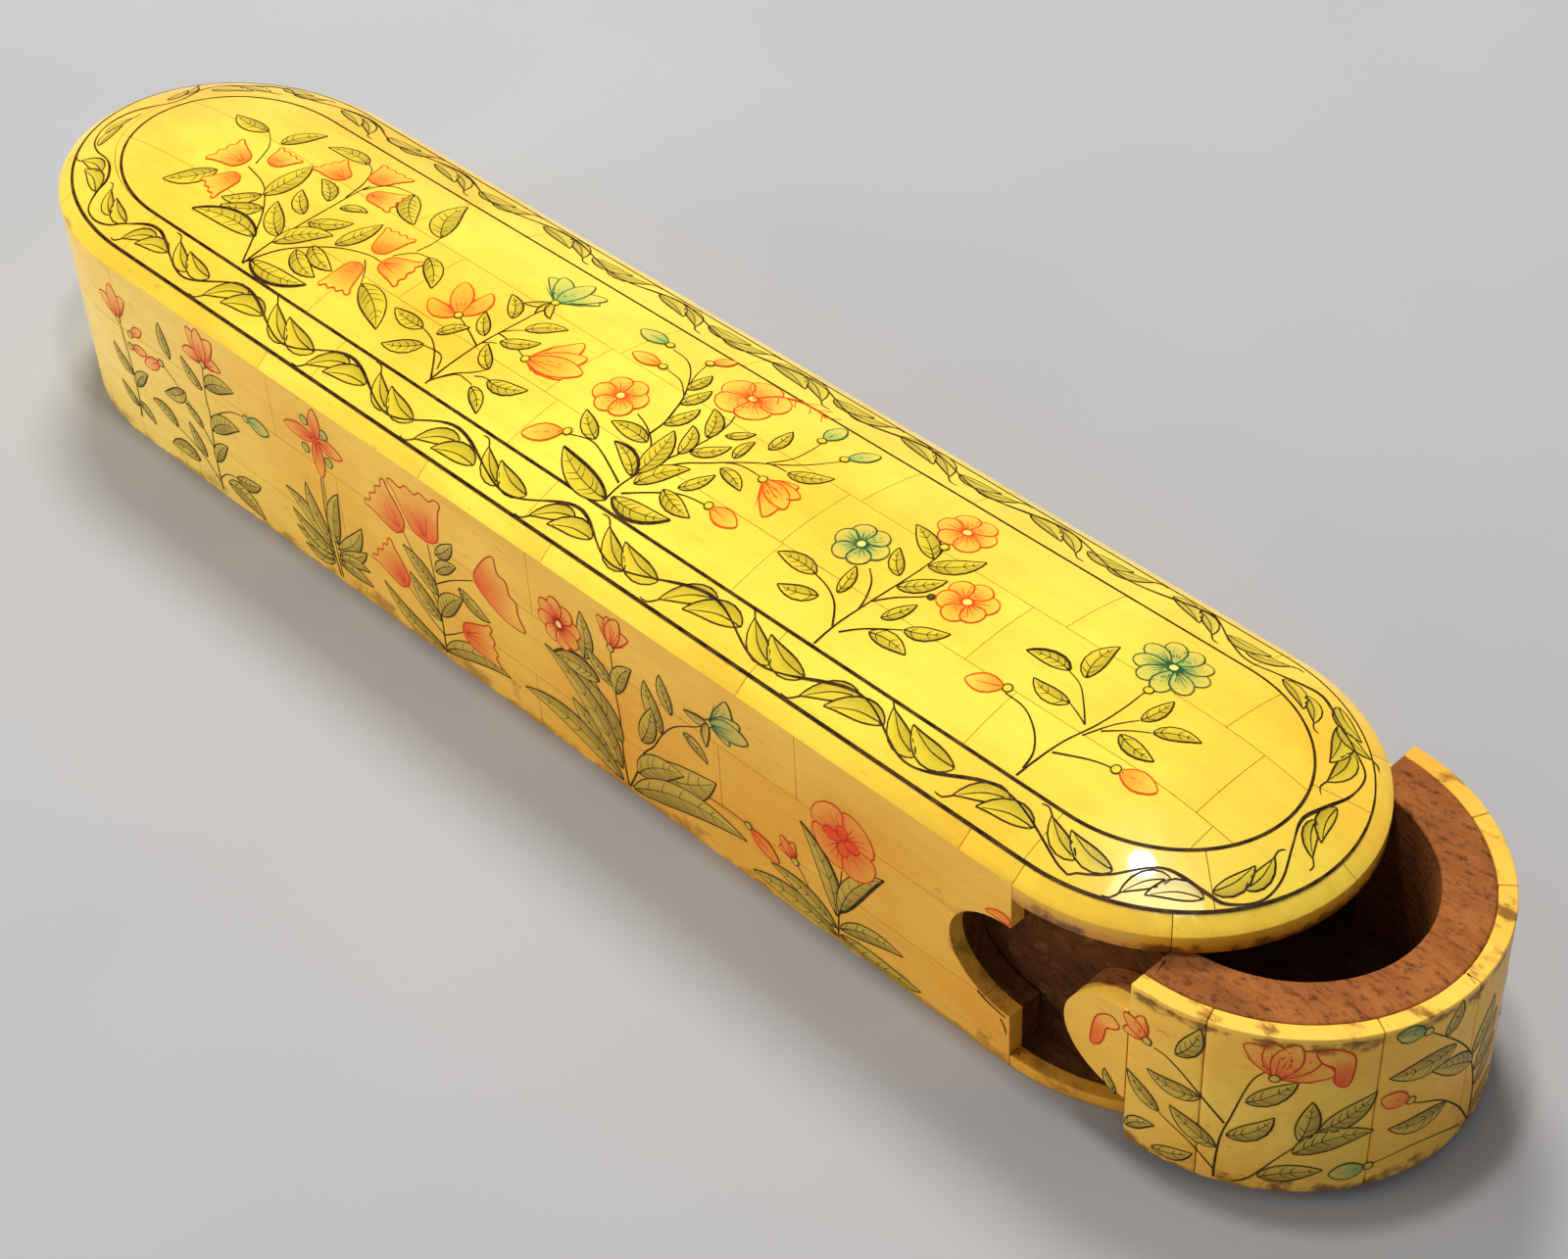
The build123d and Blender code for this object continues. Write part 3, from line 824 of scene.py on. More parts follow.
def hibiscus_spray(brush):
    brush.stem(
        (2, -15), (1.9, -12.5), (2.3, -10), (3, -7), (4, -4), (4.6, -1), (4.7, 2), (4.3, 4.5), (3.5, 6.3),
    )
    brush.stem((3, -8.5), (5.5, -5), (8, -2.8), (11, 0), (14, 2.3), (16.5, 2.7))
    brush.fine_twig((13.5, 2.2), (15.1, 5), (15.3, 8), (14.9, 10.6))
    brush.fine_twig((14, 2.3), (17, 5.2), (19.2, 8.8), (19.4, 10))
    brush.twig((9.7, -1.3), (11, -0.5), (13, -0.2), (15.5, -0.3))
    brush.stem((3, -13), (7.5, -9.8), (10, -8.6), (13.7, -8.1))
    brush.stem((2, -8), (0, -5), (-3, -3), (-5.7, -2.1))
    brush.stem((1.5, -12), (-4, -9.8), (-7, -9.2), (-10, -10.1))
    brush.stem(
        (-1.7, -3.8), (-1.8, -1.2), (-2.5, 1), (-3.7, 3.8), (-5.5, 6.5), (-8, 9.3), (-10.5, 10.8),
        (-13.3, 11.1),
    )
    brush.fine_twig((-5.2, 6.2), (-6.7, 9), (-7.7, 11.8))
    brush.fine_twig((-4.2, 4.6), (-7, 6.6), (-10.1, 7.1))
    brush.leaves(
        (16.8, 2.6, 21.7, 6), (10, -2.4, 14.9, -3.8), (8.3, -8.2, 10.4, -3.7), (3.2, -11, 7.2, -5),
        (7, -9.5, 13.2, -10.8), (11.7, 4.3, 10.8, 9.4), (9.9, 0, 9.4, 4.2), (5.8, 2.4, 8.2, 5.5),
        (4.8, -2.8, 8, 1.4), (4.4, 0.6, 0.6, 5.4), (4, -4, 1.3, 1), (2.2, -9.5, 0.3, -1.3),
        (-0.8, -5, -7.3, -5.2), (-6.5, -8.7, -11.4, -5.7), (-1.7, -1.3, -0.5, 4), (-3.3, 3, -2.6, 8),
        (-5, 5.8, -5.3, 10.6),
    )
    brush.leaves(
        (2.5, -14, 11.4, -12.4), (2.2, -10.3, -4.2, -7.5), (2, -14.8, -9, -11.9), width=0.36, bold=True,
    )
    brush.rosette((2, 10.8), 4.9, 5, turn=radians(100), streaks=5)
    stamen = ((2, 10.8), (2.8, 12.8), (4, 14.5), (6, 15.6), (8.5, 15.9), (10.6, 15.4))
    stamen = smooth_path(stamen, step=0.4)
    orange = brush.warm.line
    brush.line(stamen, brush.sizes.line * 1.6, orange, 1.2, 0.6)
    for i in range(4, len(stamen), 3):
        u, v = stamen[i]
        side = 1 if i % 2 else -1
        filament = [(u, v), (u + 0.6, v + 0.7 * side), (u + 1.3, v + 1.5 * side)]
        brush.line(filament, brush.sizes.fine_line, orange)
    brush.bud((14.6, 10.8), (14.3, 15.5), brush.teal, width=0.62)
    brush.bud((19.4, 10), (21.6, 14.3), brush.teal, width=0.55)
    brush.cup((15.5, -0.4), ((19.8, 1.6), (21.5, 0.2), (21.5, -2.6), (20.4, -5.2)))
    brush.bud((13.7, -8), (19, -8.5), width=0.6)
    brush.rosette((-10, -1.1), 3.9, 6, turn=0.3)
    brush.bud((-10.5, -9.9), (-15.4, -13.5), width=0.55)
    brush.bud((-14.3, 11.5), (-19.6, 11.2), brush.teal, width=0.6)
    brush.bud((-7.8, 12.5), (-6.2, 15.8), width=0.6)
    brush.bud((-10.9, 7.1), (-16, 6.5), width=0.55)


def anemone_spray(brush):
    brush.stem((39.5, -15.5), (39.8, -12), (40.5, -8), (41.2, -3), (41.4, 1), (41.2, 4), (40.8, 5.2))
    brush.stem((40.7, -7), (42.5, -4.8), (44.5, -3), (46, -1.3))
    brush.stem((40.4, -9), (39.8, -7), (38.5, -4.7), (36.7, -3.2))
    brush.stem((40.8, -12.7), (42.5, -11), (44.5, -9.5), (46.8, -8))
    brush.stem((39.6, -12.5), (37.5, -10), (35, -8.6), (32, -7.9))
    brush.leaves(
        (41.2, 3.2, 35, 6.7), (40.3, -1.8, 36.8, 1.9), (41.6, 1.8, 46, 7.4), (41.4, -3.4, 45.2, 1.4),
        (43.4, -8.2, 45.4, -4), (46.9, -7.9, 51.7, -5), (43.8, -10.6, 49.7, -10.6),
        (36.5, -8.5, 35.2, -4), (32.3, -7.9, 26, -8.2), (35, -10.2, 29.6, -11.8),
    )
    brush.rosette((40.2, 10.2), 4.0, 6, turn=0.2)
    brush.rosette((49.5, 0.2), 3.8, 6, turn=0.5)
    brush.rosette((33, -0.8), 3.7, 6, brush.teal, turn=0.1)
    brush.disc((40.5, 5.8), 0.6)
    brush.disc((45.7, -2.0), 0.45, (*brush.ink, 0.9))


def marigold_spray(brush):
    brush.stem((71.5, -15.4), (71.9, -13), (72.7, -9), (74, -5), (74.6, -1), (74.6, 3))
    brush.twig((73, -5.6), (71, -3.5), (68.5, -1.3), (66, -0.4))
    brush.fine_twig((73, -5.6), (71.4, -4.9), (69.5, -4.2))
    brush.twig((73.8, -7), (75.5, -3.5), (77.2, -1.1))
    brush.twig((75, -5.2), (77.5, -3), (79.5, -1.7))
    brush.stem((71.5, -14.3), (71, -12), (69, -9.7), (66, -8), (62.8, -7.7))
    brush.stem((72.7, -10.8), (77, -9), (80, -8.3))
    brush.leaves(
        (68.2, 0, 67.4, 7), (69.5, -4.2, 63.7, -3.9), (77.3, -1, 78, 4), (79.6, -1.6, 84.5, 1),
        (77, -4.2, 82.5, -4.8),
    )
    brush.leaf(66, -0.3, 60.1, -1.2, bold=True)
    brush.rosette((74, 8.7), 5.0, 9, brush.teal, turn=0.1, streaks=4)
    brush.disc((74.7, 3.4), 0.6)
    brush.bud((62.5, -7), (57.6, -8.9), width=0.62)
    brush.bud((80, -8.3), (85.5, -7.8), width=0.6)


# Leafy vine round the lid: its wave, its outer and inner lines and its pairs of leaves

NEAR_WAVE = (83, 71.5, 60, 49, 36, 24, 10, 0, -10.5, -23.5, -34, -45.5, -56.5, -68.5, -79, -88.8)
FAR_WAVE = (-81, -70, -59, -46.5, -33.5, -23, -11, 2, 12.5, 23, 34.5, 46, 57.5, 67.5)
BACK_TURN = (
    (-94.5, -19.3), (-97, -20.7), (-100, -21.1), (-103, -20.1), (-104.5, -17.5), (-105, -15.2),
    (-107, -13.2), (-109.5, -12), (-113, -11.3), (-116, -9.8), (-118.2, -7), (-118.8, -4), (-118.2, -1.5),
    (-116.5, 0.8), (-114.8, 2.5), (-114, 4.5), (-114.5, 7), (-115.2, 9.5), (-114.2, 12.5), (-111.5, 14.5),
    (-109, 17.2), (-106, 18.5), (-103, 17.7), (-99.5, 18.5), (-96.5, 20), (-92, 21.6), (-88, 21.3),
    (-84.5, 19.8),
)
MOUTH_TURN = (
    (70, 21.8), (74, 19), (78, 17.3), (82, 18.2), (86.5, 19.6), (89, 18.8), (91, 17.5), (95, 15.3),
    (98.5, 13), (99.6, 9), (99, 5), (98.5, 1.5), (100, -2), (101.8, -6), (101.8, -9.5), (99.5, -12.5),
    (97, -13.2), (92, -14.3), (88, -18.5), (85, -20.5),
)
NEAR_INSIDE = (
    (-94.7, -19.2, -104, -15.2), (-75, -19.2, -86, -16.5), (-51, -19.7, -64.5, -16.1),
    (-29.8, -19.9, -41.8, -16.2), (-7.5, -19.8, -19.5, -16.5), (16.7, -19.6, 3.3, -16.5),
    (41.8, -19.4, 28.7, -16), (65, -18.6, 51.4, -15.9), (88, -18, 76.3, -16.5),
)
NEAR_OUTSIDE = (
    (-84.4, -19.4, -94.8, -22), (-62.5, -19.3, -75.8, -22.3), (-40.3, -19.5, -52.7, -22.3),
    (-17.2, -20.3, -29.8, -22.3), (4.8, -19.8, -7, -22.3), (30.3, -18.6, 16.2, -22.2),
    (54.2, -18.9, 40.7, -22.3), (77.5, -19.2, 65, -21.8),
)
FAR_INSIDE = (
    (-95, 19.8, -84.3, 17.2), (-73.8, 20.1, -62.7, 17.3), (-50.5, 20.6, -37.8, 17.9),
    (-26.7, 20.7, -15, 17.5), (-4.5, 20.5, 9, 17.7), (18.5, 21, 31.5, 17.6), (41.2, 20.5, 52.5, 17.5),
    (63.5, 21.3, 73.7, 17.2),
)
FAR_OUTSIDE = (
    (-84, 20, -74.5, 22.4), (-63.5, 20, -52.8, 22.4), (-39.5, 20.2, -28, 22.4), (-16.5, 20.6, -4.8, 22.4),
    (7, 20.6, 17.8, 22.4), (29.5, 20.3, 39.8, 22.4), (51, 20.1, 61.8, 22.4), (73, 19.9, 83, 21.6),
)
# Pairs at the two ends, each with 1 where it stands outside its stretch of vine, else -1
END_PAIRS = (
    (97.4, -13.8, 88.8, -20.7, 1), (97.6, -12.6, 99.8, -2.9, 1), (99.8, 6.1, 103, -2.7, 1),
    (91.8, 17.1, 97.6, 6, -1), (89.5, 19.7, 98.8, 15.2, 1), (82.8, 17.8, 91.5, 13.3, -1),
    (-104.8, -17.4, -115.8, -13.2, 1), (-114.2, -10.2, -116, -1.4, -1), (-116.2, 3.6, -118, 11.1, 1),
    (-113.6, 9.8, -104.5, 16.2, -1), (-107.3, 18.6, -98, 20.9, 1),
)


# Where the twig of a leaf pair ends, seen from where the pair leaves the vine
PAIR_TIP = (13.8, 2.9)


# Two leaves, one over the other, and a curled twig, from where they leave the vine to the
# twig's end. They stand outside the vine for a side of 1 and inside it for -1
def leaf_pair(brush, base_u, base_v, tip_u, tip_v, side):
    scale = hypot(tip_u - base_u, tip_v - base_v) / hypot(*PAIR_TIP)
    turn = atan2(tip_v - base_v, tip_u - base_u) - side * atan2(PAIR_TIP[1], PAIR_TIP[0])
    ahead = (scale * cos(turn), scale * sin(turn))

    def at(s, t):
        return step_from((base_u, base_v), ahead, s, side * t)

    brush.level = 4 if side > 0 else 1
    brush.leaf(*at(5, -1.3), *at(11.5, 2.1), width=0.44, bend=-0.1 * side, veins=0)
    brush.line(smooth_path([at(11.3, 2.0), at(12.6, 3.0), at(*PAIR_TIP)]), brush.sizes.line, end=0.6)
    brush.leaf(*at(0, 0), *at(8, 1.7), width=0.44, bend=-0.12 * side, veins=0)
    for vein in (((0.6, 0), (3.9, 0.2), (7.2, 1.4)), ((5.8, -1.1), (8.35, -0.2), (10.9, 1.7))):
        path = smooth_path([at(*place) for place in vein])
        brush.line(path, brush.sizes.fine_line * 1.3, start=1.2, end=0.6)


# Centre line of the vine, which sways between two lines along each side of the lid
def vine_path():
    near = [(x, (-21.0, -17.5)[i % 2]) for i, x in enumerate(NEAR_WAVE)]
    far = [(x, (19.0, 22.0)[i % 2]) for i, x in enumerate(FAR_WAVE)]
    return smooth_path([*near, *BACK_TURN, *far, *MOUTH_TURN], closed=True)


# Lines round the lid: reach past the walls' back ends, half width and reach past the mouth
OUTER_RING = (29.4, 22.65, 24.9)
INNER_RING = (20.4, 15.9, 17.9)


# Line round the lid: its two rounded ends and the two straight runs between them
def ring_path(back_reach, half, mouth_reach):
    parts = 120
    turn = [radians(a) for a in range(-90, 91, 3)]
    mouth = [(MOUTH_X + mouth_reach * cos(a), half * sin(a)) for a in turn]
    back = [(BACK_X - back_reach * cos(a), -half * sin(a)) for a in turn]
    far = [lerp(mouth[-1], back[0], i / parts) for i in range(1, parts)]
    near = [lerp(back[-1], mouth[0], i / parts) for i in range(1, parts)]
    return [*mouth, *far, *back, *near, mouth[0]]


# A path in parts that meet, of so many steps each
def in_parts(path, steps):
    return [path[first : first + steps + 1] for first in range(0, len(path) - 1, steps)]


# Line round the lid, drawn bolder on the near side than on the far one
def draw_ring(brush, ring, width, far_share):
    fade = 12
    for part in in_parts(ring_path(*ring), 4):
        nearness = 0.5 - 0.5 * max(min(part[0][1] / fade, 1), -1)
        brush.line(part, width * (far_share + (1 - far_share) * nearness))


def paint_border(brush):
    for place in NEAR_OUTSIDE + FAR_OUTSIDE:
        leaf_pair(brush, *place, 1)
    for place in NEAR_INSIDE + FAR_INSIDE:
        leaf_pair(brush, *place, -1)
    for place in END_PAIRS:
        leaf_pair(brush, *place)
    brush.level = VINE_LEVEL
    # The vine swells and thins as a loaded brush draws it
    sweep = 17
    for i, part in enumerate(in_parts(vine_path(), sweep)):
        brush.line(part, brush.sizes.line, start=1.1, end=1.1, middle=(1.3, 2.3)[i % 2])
    draw_ring(brush, OUTER_RING, brush.sizes.bold_line, 0.45)
    draw_ring(brush, INNER_RING, brush.sizes.bold_line * 0.95, 0.75)


# Flowers of the case's side, from the back to the mouth; u runs along the box, v is the height


def back_bud_sprig(brush):
    brush.stem((-92, 4), (-91.5, 10), (-91.8, 16), (-92.3, 22))
    brush.cup((-92.5, 21.5), ((-96.5, 24.5), (-93, 27.5), (-89.8, 26)))
    brush.bud((-90, 20), (-86.8, 22.2))
    brush.bud((-90.6, 17.6), (-86.6, 18.2))
    brush.leaves((-91.6, 12, -95.5, 16), (-91.5, 10, -87.6, 14), (-91.8, 7, -88.3, 4.5), (-92, 6, -95.6, 9))


# Where the lily stands along the side
LILY_PLACE = -73


def lily_sprig(brush):
    brush.stem((-73, 0.8), (-73.2, 6), (-72.8, 11), (-72.3, 15), (-72.5, 18), (-71.7, 24))
    brush.twig((-72.3, 14.5), (-69, 17), (-66, 18.7), (-63.8, 19.2))
    brush.twig((-72.9, 8), (-76, 12.5), (-80, 16.5), (-83, 18.5))
    brush.twig((-73, 2), (-77, 5.5), (-82, 7.5))
    brush.twig((-73, 3), (-71, 4.8), (-68.5, 5.5))
    brush.leaves(
        (-72.2, 20, -64.8, 22.7), (-73, 19, -77, 23), (-80.2, 20.6, -81.5, 26.4), (-78, 16, -83.7, 13),
        (-75, 11, -78.5, 13.8), (-72.6, 12, -65.2, 15.8), (-73, 6, -69.3, 10.7),
        (-75.5, 5.5, -78.6, 10.3), (-82, 7.5, -87.5, 9.8), (-77.7, 3.6, -84.7, 3),
        (-68.5, 5.5, -62.5, 7.3), (-71, 3.3, -63, 0.9),
    )
    brush.cup((-71.5, 24.2), ((-76, 24.6), (-74, 29.6), (-71.5, 30.4), (-68.3, 29.6), (-67.2, 25)))
    brush.bud((-83, 18.5), (-87.5, 16))
    brush.bud((-62.9, 19.3), (-57.6, 19.4), brush.teal, width=0.6)


def star_sprig(brush):
    brush.stem((-45.7, 0.6), (-46.5, 6), (-46.8, 12), (-46.4, 18))
    brush.twig((-45.2, 0.6), (-45.7, 6), (-46.1, 12), (-45.9, 18))
    for tip in ((-53.3, 2.5), (-54.7, 5), (-55, 8), (-55.7, 11.5), (-50.5, 15)):
        brush.leaf(-46.5, 2.5 + tip[1] * 0.25, *tip, width=0.34, veins=3)
    for tip in ((-43, 17), (-38.6, 13.5), (-38.2, 9.3), (-38.2, 5.8), (-38, 3.2)):
        brush.leaf(-45.2, 2.5 + tip[1] * 0.25, *tip, width=0.34, veins=3)
    for tip in ((-45.5, 30.3), (-53, 24.3), (-46, 18.2), (-40.3, 24.5)):
        brush.petal((-46, 24.8), tip, 3.0, blunt=0.3)
    for place in ((-48, 27.2), (-43.8, 26.8), (-48.7, 22.1), (-43.7, 22.1)):
        brush.disc(place, 0.8, (*brush.teal.full[:3], 0.5), brush.teal.line)


def tulip_sprig(brush):
    brush.stem((-22.8, 0.6), (-22.7, 6), (-22.8, 11), (-23, 15), (-23.4, 19.8))
    brush.twig((-22.8, 9), (-25.5, 13.5), (-28.7, 19))
    brush.twig((-22.7, 4), (-26, 6), (-29.5, 8.8))
    brush.twig((-22.9, 13), (-19, 16), (-14.3, 18.8))
    brush.twig((-22.7, 4), (-20.5, 5.5), (-18, 7.5))
    brush.leaves(
        (-17.8, 15.4, -11.8, 13), (-22, 18.7, -18, 22.9), (-22.4, 15.5, -17.7, 19),
        (-22.8, 7.5, -17.2, 13.7), (-22.8, 11, -29.2, 16.3), (-22.8, 6.5, -28.5, 11.9),
    )
    brush.leaves((-23, 1.3, -35, 6.4), (-22.8, 1.2, -8.8, 4.9), width=0.26)
    brush.bell((-23.5, 20.2), (-24.8, 27.6), 11)
    brush.bell((-28.7, 19), (-33.8, 22.8), 8.6)
    brush.bell((-29.5, 8.8), (-34.2, 12.6), 7.6)
    folded = (
        (-14, 19.6), (-11.8, 23.6), (-9.4, 25.8), (-8.8, 23.4), (-7.2, 22.8), (-6.8, 20.8), (-5.6, 20.2),
        (-5.4, 18), (-4.4, 15.8), (-8.2, 15.6), (-12, 17.2),
    )
    brush.patch(folded, (-14, 18.6), 8)
    brush.bell((-18, 7.5), (-11.6, 8.6), 7)


def pair_of_stems(brush):
    brush.stem((13.8, 0.6), (13.3, 6), (13.4, 12), (13, 17), (12.8, 24))
    brush.twig((13, 10.5), (11.5, 12.8), (9, 16), (6.5, 19))
    brush.stem((14, 0.6), (16, 5), (17.5, 9), (19.5, 11.5), (21.5, 15), (24, 18), (28, 20.7), (30.5, 22.7))
    brush.twig((14.5, 1), (18, 4), (24, 7.8), (30, 9.5), (36, 9.6))
    brush.leaves(
        (7.5, 19, 7.5, 27), (12.8, 17.6, 8, 21.3), (13.1, 16.5, 16.6, 22.8), (13.3, 8, 3, 15),
        (12.6, 4, 4, 10), (23.5, 19.6, 21.8, 25.4), (21.4, 15, 18.8, 22.5), (17.3, 11, 19.7, 18.4),
        (17, 6, 31, 13), (16, 4.5, 25, 10), (25.5, 18, 29.7, 15.4),
    )
    brush.leaf(10, 16.6, 1, 15.8, bold=True)
    brush.leaves((12.8, 3, -0.5, 16.5), (12.8, 1, -5.8, 5.5), (14.8, 0.8, 36, 6.3), width=0.24)
    brush.cup((12.9, 24.2), ((10.9, 28.6), (12.8, 29.4), (14.8, 29.8), (16.5, 27.6)))
    brush.rosette((3, 22), 4.2, 8, turn=0.2)
    brush.cup((30.5, 23), ((33.8, 28.7), (36, 26.2), (37.4, 24), (34, 21.4)), brush.teal)
    brush.leaves((30.3, 22.8, 26, 22.4), (30.3, 22.8, 29.8, 18.5), width=0.4, veins=0)
    brush.bud((36.5, 9.5), (41.7, 6.5))


def carnation_sprig(brush):
    brush.stem((51.6, 0.6), (51.8, 4), (52, 8), (52.7, 13.4))
    brush.twig((51.8, 2), (48.6, 3.6), (46, 7.2), (44.8, 8.8))
    brush.leaf(51.5, 4.5, 45.8, 17, width=0.28, bold=True)
    brush.leaf(52, 5.5, 59.7, 16.8, width=0.28, bold=True)
    brush.leaves(
        (51.3, 0.9, 36.8, 1.9), (52, 1.5, 65.5, 1.6), (51.4, 2.2, 40.2, 5.6), (52, 2.6, 62.6, 5.6),
        width=0.28,
    )
    brush.rosette((53, 18.7), 5.7, 4, turn=radians(45), streaks=5)
    deep = brush.warm._replace(thin=brush.warm.full)
    for centre in ((53, 21.2), (49.8, 18.8), (55.8, 18.6), (53, 16)):
        brush.petal((53, 18.7), centre, 2.0, deep, streaks=0)
    brush.cup((44.6, 9), ((41.8, 9.8), (42.2, 12), (44.6, 12.2)), width=0.5)


# What the notch has left of a flower that ran across from the case to the drawer
def mouth_scraps(brush):
    smear = ((75.8, 24.1), (76.9, 25), (78.4, 25.4), (79.35, 25.1), (79.4, 24.15), (77.6, 24))
    red = brush.warm.full[:3]
    brush.patch(smear, (79.2, 24), 4, Paint(brush.warm.thin, (*red, 0.6), red))
    brush.line(smooth_path([(74.6, 9.3), (76.4, 8.5), (79, 8)]), brush.sizes.line * 1.4, start=1.4, end=0.6)
    brush.line(smooth_path([(78.2, 7.2), (78.9, 6.2), (79.1, 5)]), brush.sizes.line, start=1.2, end=0.5)


# Flowers of the drawer front; u runs round its curve from the near corner


def front_spray(brush):
    brush.stem((11.6, 2.6), (11.6, 5), (12, 10), (13, 14), (14, 18), (15, 21), (16.3, 22.6))
    brush.stem((12.3, 12.5), (9.5, 15.8), (7, 18.5), (5, 20), (3.5, 20.3))
    brush.stem((13.8, 2.8), (15.5, 4), (18, 7.5), (21, 11.3), width=0.9)
    brush.twig((11.6, 4), (8.5, 7.4), (5, 9.8), (4.2, 10.5))
    brush.leaves(
        (6.2, 21, 8.8, 26.8), (14.4, 16.8, 19.8, 21.3), (9.4, 15.6, 2.8, 16.3), (4.6, 10.2, 0.2, 14.2),
        (11.6, 8, 5.9, 12.2), (0.4, 4.5, 4.2, 7.3), (4, 3.5, 9, 5.5), (12.6, 10.5, 17.6, 15),
        (20.6, 11.2, 21.5, 18), (22.6, 13, 28.5, 18.5), (20, 9, 28.8, 11.8), (16.4, 4.5, 23.5, 6),
    )
    brush.cup(
        (17.2, 21.6), ((13.6, 26.4), (16.4, 27.4), (19.4, 27.4), (22.4, 26), (23.6, 22.4)), width=0.62,
    )
    brush.cup((2.6, 20.8), ((-0.6, 20.2), (-0.6, 23.2), (2, 24.4)), width=0.6)
    drooping = (
        (21.4, 26.4), (23.6, 26.6), (25.4, 25.4), (25.6, 22.8), (25, 20.4), (23.6, 21.2), (23.4, 23.6),
        (22, 24.6),
    )
    brush.patch(drooping, (24.4, 21.4), 4)


def front_twigs(brush):
    brush.stem((44, 2.8), (41, 8), (37.5, 12), (34, 14), (32.8, 14.9))
    brush.stem((44, 2.8), (44, 8), (42.6, 14), (41, 18), (38, 22), (34.6, 25.4))
    brush.twig((42, 3.8), (38, 5.7), (34, 6.5), (30, 6), (28.6, 5.6))
    brush.leaves(
        (38.7, 20.6, 29.8, 20.2), (38.4, 11, 30.5, 11.3), (42.4, 14.5, 35.3, 18.5),
        (36.6, 23.4, 38.6, 28), (43.9, 9, 48.6, 13.6), (43.4, 12, 47.8, 18.6), (42.2, 16, 46, 22.4),
        (43.9, 4.6, 49.6, 6.6),
    )
    brush.bud((33, 15), (29.2, 17), width=0.75)
    brush.bud((34, 26), (30, 27.2), brush.teal, width=0.75)
    brush.bud((28.7, 5.6), (24.2, 5.1), brush.teal, width=0.75)


def tab_touch(brush):
    scroll = (
        (-5.2, 14.4), (-5, 17.6), (-4.2, 19.8), (-2.4, 21), (-1.2, 20), (-2, 19), (-3, 18.4),
        (-3.4, 16.4), (-4, 15),
    )
    brush.patch(scroll, (-4.8, 15.4), 4.5)
    brush.leaf(-1.2, 8.6, -3, 11.6, width=0.5)


# Washes laid over the bone of the lid, the case and the drawer


def lid_wash(finish):
    return lid_bone_material(finish, "painted_lid_bone", painted=True)


def case_wash(finish):
    return side_bone_material(finish, "painted_case_bone", *CASE_STAIN, painted=True)


def drawer_wash(finish):
    return side_bone_material(finish, "painted_drawer_bone", *DRAWER_STAIN, painted=True)


class PENBOX_OT_lid_finish(bpy.types.Operator):
    """Lacquer the bone plates of the lid"""

    bl_idname = "pen_box.lid_finish"
    bl_label = "Lid bone"

    def execute(self, context):
        finish = context.scene.pen_box_finish
        dress(("lid_field_plates", "lid_border_plates"), lid_bone_material(finish, "lid_bone_lacquer"))
        dress(("lid_edge_band",), lid_bone_material(finish, "edge_band_bone", stained=True), 0.7)
        return {"FINISHED"}


class PENBOX_OT_case_finish(bpy.types.Operator):
    """Lacquer the bone plates of the case"""

    bl_idname = "pen_box.case_finish"
    bl_label = "Case bone"

    def execute(self, context):
        material = side_bone_material(context.scene.pen_box_finish, "case_bone", *CASE_STAIN)
        dress(("near_side_plates", "far_side_plates", "back_end_plates"), material)
        dress(("bottom_edge_band",), material, 0.3)
        return {"FINISHED"}


class PENBOX_OT_drawer_finish(bpy.types.Operator):
    """Lacquer the bone staves and tabs of the drawer, with worn rims"""

    bl_idname = "pen_box.drawer_finish"
    bl_label = "Drawer bone"

    def execute(self, context):
        material = side_bone_material(context.scene.pen_box_finish, "drawer_bone", *DRAWER_STAIN)
        dress(("drawer_front_plates",), material, 0.22)
        dress(("near_tab_plate", "far_tab_plate"), material, 0.35)
        return {"FINISHED"}


class PENBOX_OT_wood_finish(bpy.types.Operator):
    """Give the case and the drawer their bare old wood, darker inside them with painted shade"""

    bl_idname = "pen_box.wood_finish"
    bl_label = "Bare wood"

    def execute(self, context):
        finish = context.scene.pen_box_finish
        dirt_and_shade = tuple(finish.wood_dark)
        # Wood inside the case and the drawer's tray is darker, partly from grime and partly from painted
        # shade of the inside
        aged_wood_and_shade = lerp(finish.wood, dirt_and_shade, 0.6)
        drawer = wood_material(finish, "drawer_wood", finish.wood, aged_wood_and_shade, 0.68)
        case = wood_material(finish, "case_wood", aged_wood_and_shade, dirt_and_shade, 0.75)
        tray = wood_material(finish, "shaded_tray_wood", lerp(aged_wood_and_shade, dirt_and_shade, 0.4), dirt_and_shade, 0.75)
        dress(("drawer_front_block",), drawer, 0.4)
        dress(("near_tab", "far_tab"), drawer)
        dress(("drawer_near_side", "drawer_far_side", "drawer_back", "drawer_floor"), tray)
        dress(("bottom_board", "near_wall", "far_wall", "back_block", "lid_board"), case)
        return {"FINISHED"}


class PENBOX_OT_lid_border(bpy.types.Operator):
    """Paint the leafy vine and its lines round the lid"""

    bl_idname = "pen_box.lid_border"
    bl_label = "Lid border"

    def execute(self, context):
        brush = Brush(lid_chart, context.scene, seed=3)
        paint_border(brush)
        wash = lid_wash(context.scene.pen_box_finish)
        brush.finish_piece("lid_border_painting", "case", "lid_bone", wash)
        return {"FINISHED"}


class PENBOX_OT_lid_flowers(bpy.types.Operator):
    """Paint the five sprays of flowers on the lid"""

    bl_idname = "pen_box.lid_flowers"
    bl_label = "Lid flowers"

    def execute(self, context):
        brush = Brush(lid_chart, context.scene, seed=5)
        for plant in (bellflower, lotus_spray, hibiscus_spray, anemone_spray, marigold_spray):
            plant(brush)
        wash = lid_wash(context.scene.pen_box_finish)
        brush.finish_piece("lid_field_painting", "case", "lid_bone", wash)
        return {"FINISHED"}


